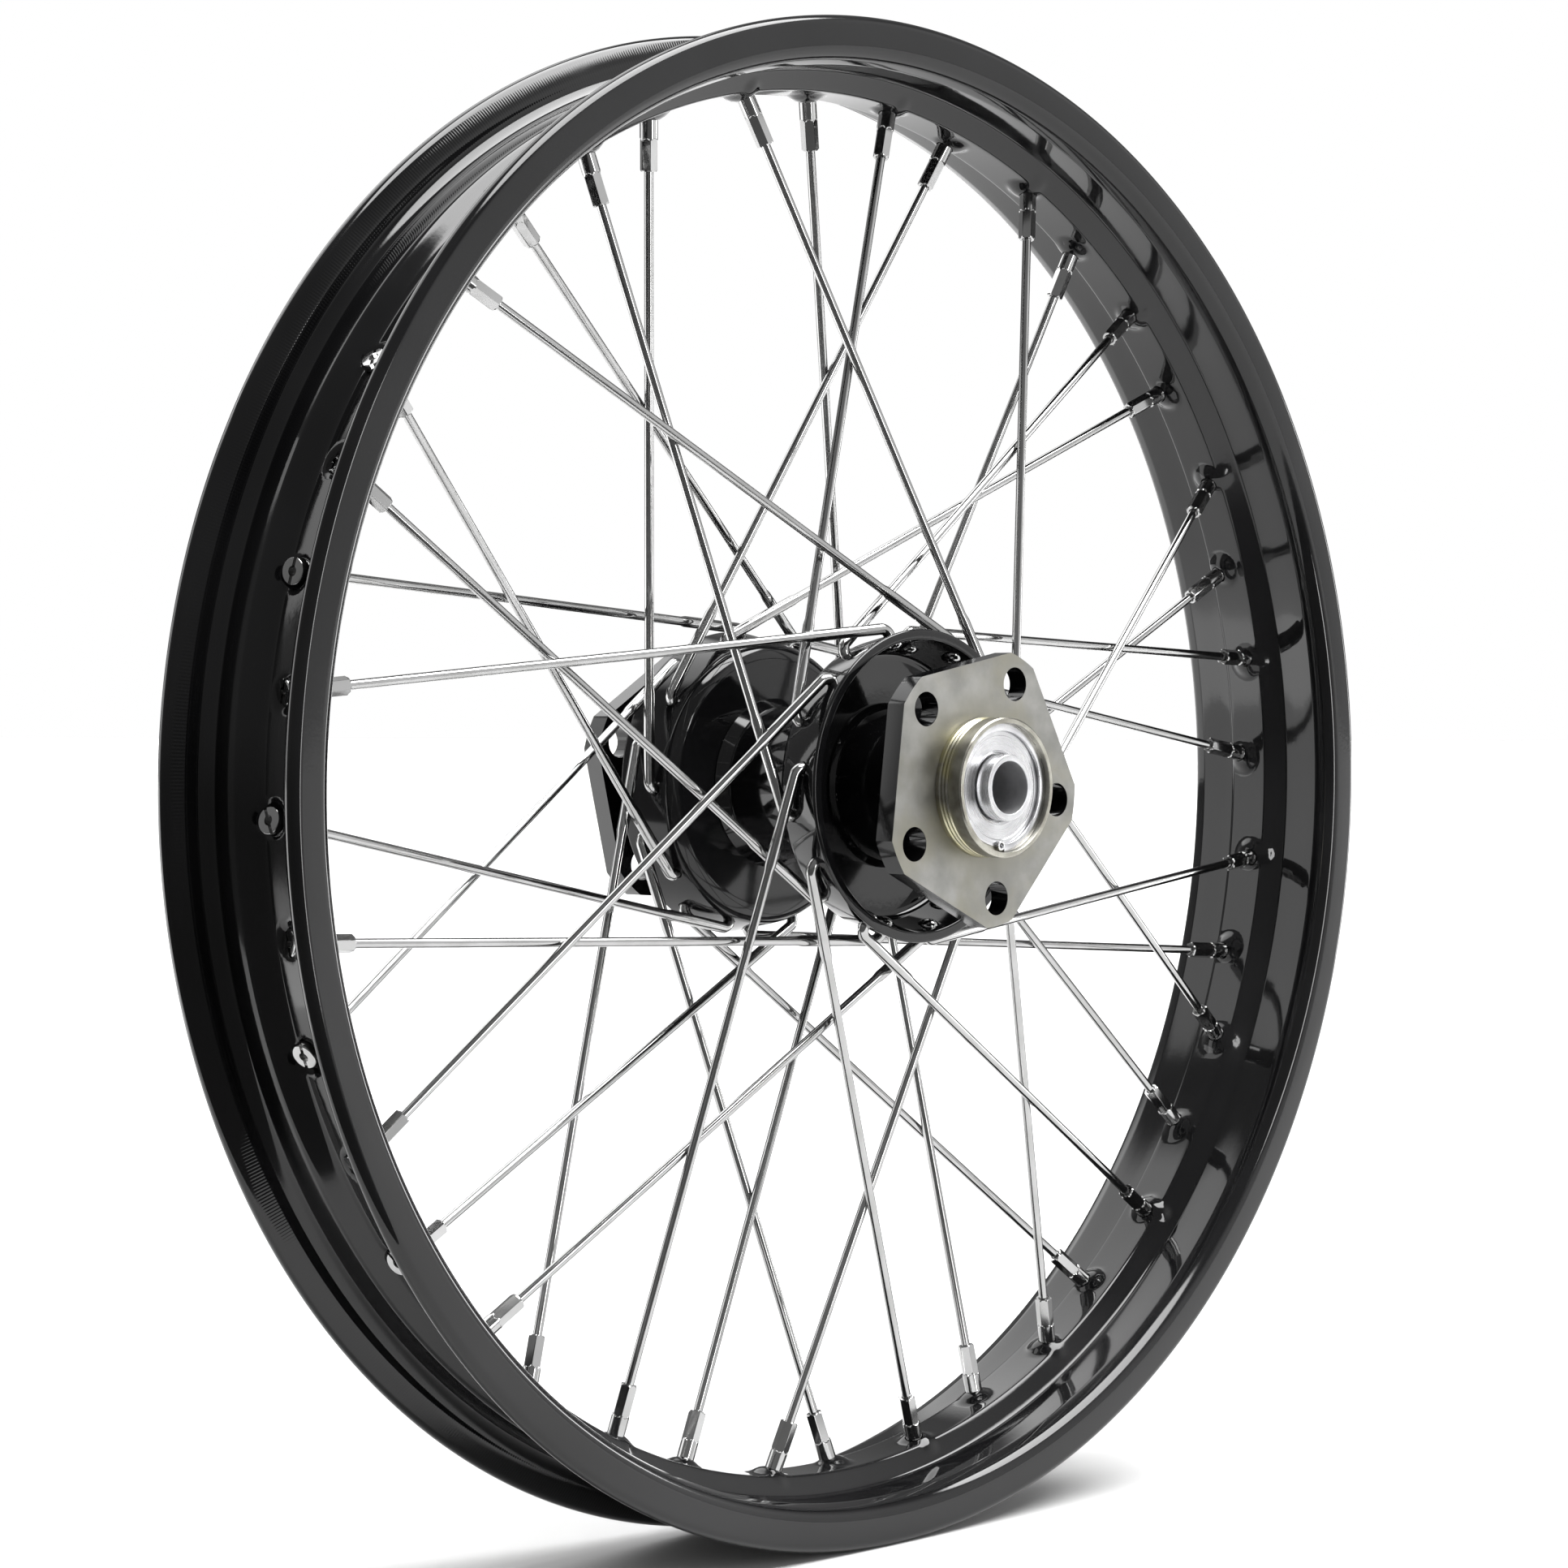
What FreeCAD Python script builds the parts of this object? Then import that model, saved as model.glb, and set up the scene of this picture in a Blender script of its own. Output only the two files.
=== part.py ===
import FreeCAD, Part
import math
import os

from FreeCAD import Vector

# Spoked motorcycle front wheel, 21 x 2.15 in: a steel drop-centre rim laced with forty spokes to a
# star hub that carries a brake disc on either side and turns on two rows of rollers.
# Millimetres. The origin is the wheel's centre, +Y is the axle (right side), +Z is up.
# Every part is drawn for the right side (+Y) and mirrored for the left one (-Y).

# --- rim ------------------------------------------------------------------------------------
RIM_RADIUS = 282.0             # over the flange crests
BEAD_SEAT_RADIUS = 267.5       # 21 in bead seat
WELL_RADIUS = 257.5            # hub side of the well floor
SHEET = 2.5                    # rim sheet
WELL_HALF_WIDTH = 8.6          # flat of the well floor, hub side
SHOULDER_RADIUS = 264.9        # top of the well wall, hub side
SHOULDER_HALF_WIDTH = 13.8
BEAD_HALF_WIDTH = 27.3         # 2.15 in between the flanges
FLANGE_FOOT_HALF_WIDTH = 29.6  # where the bead seat's underside meets the rolled flange
RIM_HALF_WIDTH = 37.2          # over the flanges
FLANGE_FOOT_RADIUS = 264.6
FLANGE_CORNER_RADIUS = 267.0   # lower corner of the rolled flange, before rounding
FLANGE_CORNER_ROUND = 6.0
LEAN_RADIUS = 274.5            # where the flange starts to lean outwards, tyre side
LEAN_HALF_WIDTH = 28.3
CREST_HALF_WIDTH = 31.6        # inner edge of the flange's crest
VALVE_HOLE_RADIUS = 4.2
VALVE_HOLE_ANGLE = 222.14      # half way between two dimples

# --- dimples, one for each spoke ----------------------------------------------------------------
SPOKE_COUNT = 40
SPOKES_PER_GROUP = 10
DIMPLE_CENTRE_RADIUS = 264.1   # centre of each dimple's ball, from the axle
DIMPLE_OUTER_BALL = 9.5
DIMPLE_INNER_BALL = 7.1
NIPPLE_HOLE_RADIUS = 3.55
FIRST_SPOKE_ANGLE = 100.64     # left outer spoke; the others follow every 9 degrees

# --- hub: spoke flanges, barrel, star flanges -------------------------------------------------------
NECK_RADIUS = 28.6             # barrel between the webs, and the necks outside them
WEB_COLLAR_RADIUS = 32.5       # cone on the barrel that backs each web
WEB_COLLAR_FOOT = 21.8         # where the cone meets the barrel, from the wheel's centre
COLLAR_RADIUS = 25.4
COLLAR_END = 91.5              # from the wheel's centre
FLANGE_SEAT_RADIUS = 30.5      # where the spoke flange is pressed on
WEB_INNER_FACE = 26.5
WEB_OUTER_FACE = 30.5
BAND_FOOT_RADIUS = 52.8
BAND_FOOT_ROUND = 7.0          # press radius between the web and the band
BAND_LIP_RADIUS = 57.85
BAND_LIP_FACE = 50.6
BAND_LIP_WIDTH = 4.0
BAND_BORE_FOOT_RADIUS = 49.0
STAR_INNER_FACE = 71.5
STAR_OUTER_FACE = 79.5
STAR_CORNER_RADIUS = 51.3
STAR_FLAT_RADIUS = 45.1
STAR_BOLT_CIRCLE = 82.55
LEFT_STAR_HOLE_RADIUS = 6.2    # 7/16 in bolts, clearance
RIGHT_STAR_HOLE_RADIUS = 5.95  # the same bolts, closer fit
STAR_POINTS = 5
LEFT_STAR_ANGLE = -7.35
RIGHT_STAR_ANGLE = 13.85

# --- bearings and axle sleeve --------------------------------------------------------------------------
AXLE_BORE_RADIUS = 9.58        # 3/4 in axle
SLEEVE_END = 92.8
SLEEVE_END_RADIUS = 12.0
SLEEVE_TRACK_RADIUS = 12.7
SLEEVE_TRACK_END = 85.0
WASHER_BORE_RADIUS = 12.5      # clears the turning sleeve end
HOUSING_RADIUS = 21.5          # bearing housing in each end of the barrel
HOUSING_SHOULDER = 58.0
CHAMBER_RADIUS = 24.0          # grease chamber between the bearings
RACE_BORE_RADIUS = 18.0
RACE_END = 80.0
ROLLER_RADIUS = 2.6
ROLLER_COUNT = 14
ROLLER_START = 62.0
ROLLER_LENGTH = 14.0
CAGE_START = 60.5
CAGE_END = 77.5
CAGE_BORE_RADIUS = 13.7
CAGE_RADIUS = 17.0
THRUST_WASHER_END = 82.0
SEAL_END = 85.0
OUTER_WASHER_END = 87.8
LOCK_RING_END = 89.3
MOUTH_RADIUS = 23.3            # collar's mouth, outside the lock ring
LOCK_GROOVE_RADIUS = 23.9
LOCK_RING_BORE_RADIUS = 20.4
LOCK_RING_GAP_START = 213.0
LOCK_RING_GAP_END = 264.0
LOCK_RING_EYE_ANGLE = 268.5
LOCK_RING_EYE_OFFSET = 0.6     # eye's middle, outside the ring's bore
LOCK_RING_EYE_RADIUS = 1.9
LOCK_RING_EYE_HOLE_RADIUS = 1.0
PRESS_GAP = 0.02               # drawn between parts that are pressed together
RUNNING_GAP = 0.15             # axial play of the thrust collar, and roller in its pocket

# --- spokes and nipples ---------------------------------------------------------------------------------
SPOKE_RADIUS = 1.7
BUTT_RADIUS = 2.1              # thicker hub end
BUTT_LENGTH = 33.0
BUTT_TAPER = 2.5
SPOKE_HOLE_RADIUS = 2.35
SPOKE_HEAD_RADIUS = 3.7
SPOKE_HEAD_HEIGHT = 2.3
ELBOW_BEND_RADIUS = 3.8
SPOKE_LEAD = 72.0              # degrees that a spoke runs ahead of or behind its hub hole
BAND_SLOPE = math.atan2(BAND_LIP_RADIUS - BAND_FOOT_RADIUS, BAND_LIP_FACE - WEB_INNER_FACE)
NIPPLE_RADIUS = 3.3
NIPPLE_LENGTH = 27.2           # hub end, from the dimple ball's centre
NIPPLE_FLATS_LENGTH = 10.2
NIPPLE_FLAT_RADIUS = 2.87
NIPPLE_HEAD_RADIUS = 4.75
NIPPLE_HEAD_TOP = 2.7
NIPPLE_BORE_RADIUS = 1.75
NIPPLE_SLOT_WIDTH = 1.3
NIPPLE_SLOT_DEPTH = 1.5
SPOKE_TIP = 6.0                # spoke's threaded end, from the dimple ball's centre

# The four spoke groups: side (-1 left, +1 right), order round the rim, direction, row on the hub
# flange, radius of the elbow's corner, seat of the head in the band, and offset in the rim well.
SPOKE_GROUPS = {
    "left_outer": {"side": -1, "order": 0, "lead": 1, "row": 42.5, "elbow": 58.8, "seat": 52.6, "well": 2.4},
    "right_outer": {"side": 1, "order": 1, "lead": 1, "row": 42.5, "elbow": 58.8, "seat": 52.6, "well": 2.4},
    "left_inner": {"side": -1, "order": 2, "lead": -1, "row": 35.0, "elbow": 57.6, "seat": 50.8, "well": 2.1},
    "right_inner": {"side": 1, "order": 3, "lead": -1, "row": 35.0, "elbow": 57.6, "seat": 50.8, "well": 2.1},
}

CENTRE = Vector(0, 0, 0)
AXLE = Vector(0, 1, 0)
UP = Vector(0, 0, 1)


# --- helpers ------------------------------------------------------------------------------------------------

def polar(radius, angle, y=0.0):
    """Point at a radius and an angle round the axle, counted from +X towards +Z."""
    turn = math.radians(angle)
    return Vector(radius * math.cos(turn), y, radius * math.sin(turn))


def turned_by(shape, angle):
    """Copy turned round the axle, from +X towards +Z."""
    return shape.rotated(CENTRE, AXLE.negative(), angle)


def on_side(shape, side):
    """The shape itself for the right side, its mirror image for the left one."""
    if side > 0:
        return shape
    return shape.mirror(CENTRE, AXLE)


def outline(points):
    """Closed wire through (radius, y) or (radius, y, corner radius) points, with tangent arcs at corners."""
    corners = [Vector(point[0], point[1], 0) for point in points]
    rounds = [point[2] if len(point) > 2 else 0.0 for point in points]
    count = len(corners)
    entries, exits, middles = [], [], []
    for index, corner in enumerate(corners):
        before = (corners[index - 1] - corner).normalize()
        after = (corners[(index + 1) % count] - corner).normalize()
        half = before.getAngle(after) / 2
        reach = rounds[index] / math.tan(half)
        bisector = (before + after).normalize()
        inset = rounds[index] / math.sin(half) - rounds[index]
        entries.append(corner + before * reach)
        exits.append(corner + after * reach)
        middles.append(corner + bisector * inset)
    edges = []
    for index in range(count):
        if rounds[index] > 0:
            edges.append(Part.Arc(entries[index], middles[index], exits[index]).toShape())
        following = (index + 1) % count
        if (entries[following] - exits[index]).Length > 1e-6:
            edges.append(Part.LineSegment(exits[index], entries[following]).toShape())
    return Part.Wire(edges)


def turned(points):
    """Solid turned round the axle from an outline."""
    return Part.Face(outline(points)).revolve(CENTRE, AXLE, 360)


def ring(inner, outer, start, end, chamfer=0.0):
    """Plain ring along the axle; the chamfer breaks its two outer edges."""
    if chamfer == 0.0:
        return turned([(inner, start), (outer, start), (outer, end), (inner, end)])
    return turned([
        (inner, start), (outer - chamfer, start), (outer, start + chamfer),
        (outer, end - chamfer), (outer - chamfer, end), (inner, end),
    ])


def round_bar(start, end, radius, end_radius=None):
    """Cylinder, or cone where the end radius differs, between two points."""
    axis = end - start
    if end_radius is None or end_radius == radius:
        return Part.makeCylinder(radius, axis.Length, start, axis)
    return Part.makeCone(radius, end_radius, axis.Length, start, axis)


def along(shape, origin, direction):
    """Moves a shape drawn along +Z so that it starts at the origin and runs along the direction."""
    placed = shape.copy()
    placed.Placement = FreeCAD.Placement(origin, FreeCAD.Rotation(UP, direction))
    return placed


# --- spoke lines -----------------------------------------------------------------------------------------

def rim_angle(group):
    """Angle of the group's first dimple."""
    return FIRST_SPOKE_ANGLE - group["order"] * 360.0 / SPOKE_COUNT


def hub_angle(group):
    """Angle of the hub hole that holds the group's first spoke."""
    return rim_angle(group) - group["lead"] * SPOKE_LEAD


def rim_point(group):
    """Centre of the dimple's ball, which the spoke's line passes through."""
    return polar(DIMPLE_CENTRE_RADIUS, rim_angle(group), group["side"] * group["well"])


def elbow_point(group):
    """Corner where the spoke's shank and its straight length would meet."""
    return polar(group["elbow"], hub_angle(group), group["side"] * group["row"])


def shank_direction(group):
    """Out of the hub, square to the flared band of the spoke flange."""
    return polar(math.cos(BAND_SLOPE), hub_angle(group), -group["side"] * math.sin(BAND_SLOPE))


def seat_point(group):
    """Where the spoke's head bears on the inside of the band."""
    length = (group["elbow"] - group["seat"]) / math.cos(BAND_SLOPE)
    return elbow_point(group) - shank_direction(group) * length


def spoke_direction(group):
    """From the rim towards the hub."""
    return (elbow_point(group) - rim_point(group)).normalize()


def spaced_round(shape, count):
    """The shape and its copies, evenly spaced round the axle."""
    return [turned_by(shape, index * 360.0 / count) for index in range(count)]


# --- rim ---------------------------------------------------------------------------------------------------

def rim_section():
    """Half section from the well's middle to the flange, hub side last; the other half mirrors it."""
    tyre_side = [
        (WELL_RADIUS + SHEET, WELL_HALF_WIDTH - 1.1, 4.2),
        (BEAD_SEAT_RADIUS - 0.5, SHOULDER_HALF_WIDTH - 1.4, 3.0),
        (BEAD_SEAT_RADIUS, BEAD_HALF_WIDTH + 0.4, 6.0),
        (LEAN_RADIUS, LEAN_HALF_WIDTH, 8.0),
        (RIM_RADIUS, CREST_HALF_WIDTH, 3.0),
        (RIM_RADIUS, RIM_HALF_WIDTH, 3.5),
    ]
    hub_side = [
        (FLANGE_CORNER_RADIUS, RIM_HALF_WIDTH, FLANGE_CORNER_ROUND),
        (FLANGE_FOOT_RADIUS, FLANGE_FOOT_HALF_WIDTH, 4.0),
        (SHOULDER_RADIUS, SHOULDER_HALF_WIDTH, 2.0),
        (WELL_RADIUS, WELL_HALF_WIDTH, 1.8),
    ]
    half = tyre_side + hub_side
    mirrored = [(radius, -y, rounding) for radius, y, rounding in reversed(half)]
    return half + mirrored


def hub_side_of_sheet():
    """Ring that reaches from inside the rim to the middle of its sheet, across the well."""
    wall_foot = WELL_HALF_WIDTH - SHEET / 4
    wall_top = SHOULDER_HALF_WIDTH - SHEET / 4
    return turned([
        (WELL_RADIUS + SHEET / 2, -wall_foot), (WELL_RADIUS + SHEET / 2, wall_foot),
        (SHOULDER_RADIUS + SHEET / 2, wall_top), (WELL_RADIUS - DIMPLE_OUTER_BALL, wall_top),
        (WELL_RADIUS - DIMPLE_OUTER_BALL, -wall_top), (SHOULDER_RADIUS + SHEET / 2, -wall_top),
    ])


def dimple(group):
    """Ball-shaped bump on the hub side of the well, round the spoke's line."""
    ball = Part.makeSphere(DIMPLE_OUTER_BALL, rim_point(group))
    return ball.common(hub_side_of_sheet())


def nipple_recess(group):
    """Ball-shaped seat for the nipple's head on the tyre side, and the nipple's hole."""
    centre = rim_point(group)
    seat = Part.makeSphere(DIMPLE_INNER_BALL, centre)
    hole = round_bar(centre, centre + spoke_direction(group) * 2 * DIMPLE_INNER_BALL, NIPPLE_HOLE_RADIUS)
    return seat.fuse(hole)


def make_rim():
    bumps = []
    recesses = []
    for group in SPOKE_GROUPS.values():
        bumps += spaced_round(dimple(group), SPOKES_PER_GROUP)
        recesses += spaced_round(nipple_recess(group), SPOKES_PER_GROUP)
    valve_hole = round_bar(polar(WELL_RADIUS - 5, VALVE_HOLE_ANGLE), polar(BEAD_SEAT_RADIUS, VALVE_HOLE_ANGLE),
                           VALVE_HOLE_RADIUS)
    rim = turned(rim_section()).fuse(bumps)
    return rim.cut(recesses + [valve_hole])


# --- hub ---------------------------------------------------------------------------------------------------

def make_hub_barrel():
    """Barrel, both necks and both collars in one turned piece, bored for the bearings."""
    half = [
        (NECK_RADIUS, WEB_COLLAR_FOOT, 1.0),
        (WEB_COLLAR_RADIUS, WEB_INNER_FACE),
        (FLANGE_SEAT_RADIUS, WEB_INNER_FACE),
        (FLANGE_SEAT_RADIUS, WEB_OUTER_FACE + 1.6),
        (NECK_RADIUS, WEB_OUTER_FACE + 2.2, 1.0),
        (NECK_RADIUS, STAR_INNER_FACE),
        (COLLAR_RADIUS, STAR_INNER_FACE),
        (COLLAR_RADIUS, COLLAR_END - 0.6),
        (COLLAR_RADIUS - 0.6, COLLAR_END),
        (MOUTH_RADIUS + 0.3, COLLAR_END),
        (MOUTH_RADIUS, COLLAR_END - 0.3),
        (MOUTH_RADIUS, LOCK_RING_END),
        (LOCK_GROOVE_RADIUS, LOCK_RING_END),
        (LOCK_GROOVE_RADIUS, OUTER_WASHER_END),
        (HOUSING_RADIUS, OUTER_WASHER_END),
        (HOUSING_RADIUS, HOUSING_SHOULDER),
        (RACE_BORE_RADIUS + 1.0, HOUSING_SHOULDER),
        (RACE_BORE_RADIUS + 1.0, HOUSING_SHOULDER - 3.0),
        (CHAMBER_RADIUS, HOUSING_SHOULDER - 8.0),
    ]
    mirrored = [(point[0], -point[1]) + point[2:] for point in reversed(half)]
    return turned(half + mirrored)


def make_spoke_flange(side):
    """Bowl-shaped spoke flange: a web and a flared band with two staggered rows of spoke holes."""
    bore = FLANGE_SEAT_RADIUS + PRESS_GAP
    lip_bore = BAND_LIP_RADIUS - BAND_LIP_WIDTH
    bowl = turned([
        (bore, WEB_INNER_FACE),
        (BAND_FOOT_RADIUS, WEB_INNER_FACE, BAND_FOOT_ROUND),
        (BAND_LIP_RADIUS, BAND_LIP_FACE, 0.8),
        (lip_bore, BAND_LIP_FACE, 0.6),
        (BAND_BORE_FOOT_RADIUS, WEB_OUTER_FACE, 1.2),
        (bore, WEB_OUTER_FACE),
    ])
    cuts = []
    for group in SPOKE_GROUPS.values():
        if group["side"] != side:
            continue
        seat = seat_point(group)
        shank = shank_direction(group)
        hole = round_bar(seat - shank * 4, seat + shank * 10, SPOKE_HOLE_RADIUS)
        head_seat = round_bar(seat - shank * 4, seat, SPOKE_HEAD_RADIUS + 0.3)
        cuts += spaced_round(hole.fuse(head_seat), SPOKES_PER_GROUP)
    return on_side(bowl, side).cut(cuts)


def make_star_flange(side, first_angle, hole_radius):
    """Five-pointed plate for a brake disc: a disc with five flats and a bolt hole at each point."""
    thickness = STAR_OUTER_FACE - STAR_INNER_FACE
    plate = ring(COLLAR_RADIUS + PRESS_GAP, STAR_CORNER_RADIUS, STAR_INNER_FACE, STAR_OUTER_FACE, 0.5)
    cuts = []
    for index in range(STAR_POINTS):
        angle = first_angle + index * 360.0 / STAR_POINTS
        bolt = polar(STAR_BOLT_CIRCLE / 2, angle, STAR_INNER_FACE - 1)
        cuts.append(Part.makeCylinder(hole_radius, thickness + 2, bolt, AXLE))
        width = 2 * STAR_CORNER_RADIUS
        block = Part.makeBox(width, thickness + 2, width, Vector(STAR_FLAT_RADIUS, STAR_INNER_FACE - 1, -width / 2))
        cuts.append(turned_by(block, angle + 180.0 / STAR_POINTS))
    return on_side(plate.cut(cuts), side)


# --- bearings ----------------------------------------------------------------------------------------------

def make_inner_sleeve():
    """Fixed sleeve on the axle, ground as the rollers' inner track near each end."""
    half = [
        (SLEEVE_END_RADIUS, 50.0),
        (SLEEVE_TRACK_RADIUS, 54.0),
        (SLEEVE_TRACK_RADIUS, SLEEVE_TRACK_END),
        (SLEEVE_END_RADIUS, SLEEVE_TRACK_END),
        (SLEEVE_END_RADIUS, SLEEVE_END - 0.4),
        (SLEEVE_END_RADIUS - 0.4, SLEEVE_END),
        (AXLE_BORE_RADIUS, SLEEVE_END),
    ]
    mirrored = [(radius, -y) for radius, y in reversed(half)]
    return turned(half + mirrored)


def make_bearing_race():
    return ring(RACE_BORE_RADIUS, HOUSING_RADIUS - PRESS_GAP, HOUSING_SHOULDER, RACE_END, 0.4)


def roller_axis_points():
    """Middle of each roller's inner end."""
    pitch = (SLEEVE_TRACK_RADIUS + RACE_BORE_RADIUS) / 2
    return [polar(pitch, index * 360.0 / ROLLER_COUNT, ROLLER_START) for index in range(ROLLER_COUNT)]


def make_rollers():
    return Part.makeCompound([
        Part.makeCylinder(ROLLER_RADIUS, ROLLER_LENGTH, point, AXLE) for point in roller_axis_points()
    ])


def make_roller_cage():
    """Ring with an open pocket for each roller."""
    cage = ring(CAGE_BORE_RADIUS, CAGE_RADIUS, CAGE_START, CAGE_END)
    pockets = [
        Part.makeCylinder(ROLLER_RADIUS + RUNNING_GAP, ROLLER_LENGTH + 2 * RUNNING_GAP,
                          point - AXLE * RUNNING_GAP, AXLE)
        for point in roller_axis_points()
    ]
    return cage.cut(pockets)


def make_thrust_washer():
    return ring(SLEEVE_TRACK_RADIUS + 0.4, HOUSING_RADIUS - PRESS_GAP, RACE_END, THRUST_WASHER_END)


def make_thrust_collar():
    """Ring pressed on the sleeve; it runs between the thrust washer and the outer washer."""
    return ring(SLEEVE_TRACK_RADIUS + PRESS_GAP, 17.5, THRUST_WASHER_END + RUNNING_GAP,
                SEAL_END - RUNNING_GAP, 0.3)


def make_cork_seal():
    return ring(17.9, HOUSING_RADIUS - PRESS_GAP, THRUST_WASHER_END, SEAL_END)


def make_outer_washer():
    return ring(WASHER_BORE_RADIUS, HOUSING_RADIUS - PRESS_GAP, SEAL_END, OUTER_WASHER_END, 0.3)


def make_lock_ring():
    """Open spring ring in the collar's groove, with an eye at one end."""
    whole = ring(LOCK_RING_BORE_RADIUS, LOCK_GROOVE_RADIUS - PRESS_GAP, OUTER_WASHER_END, LOCK_RING_END)
    gap_span = LOCK_RING_GAP_END - LOCK_RING_GAP_START
    gap_start = turned_by(Part.makePlane(LOCK_GROOVE_RADIUS, 6, Vector(10, OUTER_WASHER_END - 2, 0)),
                          LOCK_RING_GAP_START)
    gap = gap_start.revolve(CENTRE, AXLE.negative(), gap_span)
    thickness = LOCK_RING_END - OUTER_WASHER_END
    eye_centre = polar(LOCK_RING_BORE_RADIUS + LOCK_RING_EYE_OFFSET, LOCK_RING_EYE_ANGLE, OUTER_WASHER_END)
    eye = Part.makeCylinder(LOCK_RING_EYE_RADIUS, thickness, eye_centre, AXLE)
    eye_hole = Part.makeCylinder(LOCK_RING_EYE_HOLE_RADIUS, thickness + 2, eye_centre - AXLE, AXLE)
    return whole.cut(gap).fuse(eye).cut(eye_hole)


# --- spokes and nipples ------------------------------------------------------------------------------------

def make_spoke(group):
    """One spoke: button head, radial shank, elbow, thick end, taper and straight thin length."""
    outward = shank_direction(group)
    corner = elbow_point(group)
    towards_rim = spoke_direction(group).negative()
    turn = outward.getAngle(towards_rim)
    reach = ELBOW_BEND_RADIUS * math.tan(turn / 2)
    seat = seat_point(group)
    bend_start = corner - outward * reach
    bend_end = corner + towards_rim * reach
    bend_axis = outward.cross(towards_rim).normalize()
    bend_centre = bend_start + bend_axis.cross(outward) * ELBOW_BEND_RADIUS
    bend_section = Part.Face(Part.Wire(Part.makeCircle(BUTT_RADIUS, bend_start, outward)))
    taper_start = bend_end + towards_rim * BUTT_LENGTH
    taper_end = taper_start + towards_rim * BUTT_TAPER
    tip = rim_point(group) - towards_rim * SPOKE_TIP
    dome = Part.makeSphere(SPOKE_HEAD_RADIUS, seat)
    dome_height = round_bar(seat - outward * SPOKE_HEAD_HEIGHT, seat, SPOKE_HEAD_RADIUS)
    pieces = [
        round_bar(seat - outward, bend_start, BUTT_RADIUS),
        bend_section.revolve(bend_centre, bend_axis, math.degrees(turn)),
        round_bar(bend_end, taper_start, BUTT_RADIUS),
        round_bar(taper_start, taper_end, BUTT_RADIUS, SPOKE_RADIUS),
        round_bar(taper_end, tip, SPOKE_RADIUS),
    ]
    return dome.common(dome_height).fuse(pieces).removeSplitter()


def make_nipple():
    """Nipple along +Z from the dimple ball's centre: slotted ball-seated head, round body, hexagonal end."""
    ball = DIMPLE_INNER_BALL - PRESS_GAP
    head_edge = math.sqrt(ball ** 2 - NIPPLE_HEAD_RADIUS ** 2)
    end_chamfer = 0.5
    head = Part.makeCylinder(NIPPLE_HEAD_RADIUS, 4, Vector(0, 0, NIPPLE_HEAD_TOP), UP)
    head = head.common(Part.makeSphere(ball))
    body = Part.makeCylinder(NIPPLE_RADIUS, NIPPLE_LENGTH - end_chamfer - head_edge, Vector(0, 0, head_edge), UP)
    lip = Part.makeCone(NIPPLE_RADIUS, NIPPLE_RADIUS - end_chamfer, end_chamfer,
                        Vector(0, 0, NIPPLE_LENGTH - end_chamfer), UP)
    nipple = head.fuse([body, lip])
    flat_start = NIPPLE_LENGTH - NIPPLE_FLATS_LENGTH
    flat_width = NIPPLE_RADIUS
    block = Part.makeBox(2, flat_width, NIPPLE_FLATS_LENGTH + 1, Vector(NIPPLE_FLAT_RADIUS, -flat_width / 2, flat_start))
    run_out = Part.makeCylinder(flat_width / 2, 2, Vector(NIPPLE_FLAT_RADIUS, 0, flat_start), Vector(1, 0, 0))
    flat = block.fuse(run_out)
    cuts = [flat.rotated(CENTRE, UP, index * 60) for index in range(6)]
    cuts.append(Part.makeCylinder(NIPPLE_BORE_RADIUS, NIPPLE_LENGTH, Vector(0, 0, 1), UP))
    cuts.append(Part.makeBox(2 * NIPPLE_HEAD_RADIUS + 2, NIPPLE_SLOT_WIDTH, NIPPLE_SLOT_DEPTH,
                             Vector(-NIPPLE_HEAD_RADIUS - 1, -NIPPLE_SLOT_WIDTH / 2, NIPPLE_HEAD_TOP)))
    return nipple.cut(cuts)


# --- the whole wheel ---------------------------------------------------------------------------------------

def make_parts():
    parts = {
        "rim": make_rim(),
        "hub_barrel": make_hub_barrel(),
        "inner_sleeve": make_inner_sleeve(),
    }
    nipple = make_nipple()
    for name, group in SPOKE_GROUPS.items():
        placed_nipple = along(nipple, rim_point(group), spoke_direction(group))
        parts["spokes_" + name] = Part.makeCompound(spaced_round(make_spoke(group), SPOKES_PER_GROUP))
        parts["nipples_" + name] = Part.makeCompound(spaced_round(placed_nipple, SPOKES_PER_GROUP))
    parts["star_flange_left"] = make_star_flange(-1, LEFT_STAR_ANGLE, LEFT_STAR_HOLE_RADIUS)
    parts["star_flange_right"] = make_star_flange(1, RIGHT_STAR_ANGLE, RIGHT_STAR_HOLE_RADIUS)
    for side_name, side in (("left", -1), ("right", 1)):
        parts["spoke_flange_" + side_name] = make_spoke_flange(side)
        inside = {
            "bearing_race_": make_bearing_race(),
            "rollers_": make_rollers(),
            "roller_cage_": make_roller_cage(),
            "thrust_washer_": make_thrust_washer(),
            "thrust_collar_": make_thrust_collar(),
            "cork_seal_": make_cork_seal(),
            "outer_washer_": make_outer_washer(),
            "lock_ring_": make_lock_ring(),
        }
        for name, shape in inside.items():
            parts[name + side_name] = on_side(shape, side)
    return parts


def main():
    os.makedirs("parts", exist_ok=True)
    for name, shape in make_parts().items():
        shape.exportStep(os.path.join("parts", name + ".step"))
        print(name, "solids", len(shape.Solids), "volume", round(shape.Volume), "valid", shape.isValid())


main()
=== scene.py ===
import math

import bmesh
import bpy
from mathutils import Matrix, Vector


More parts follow.
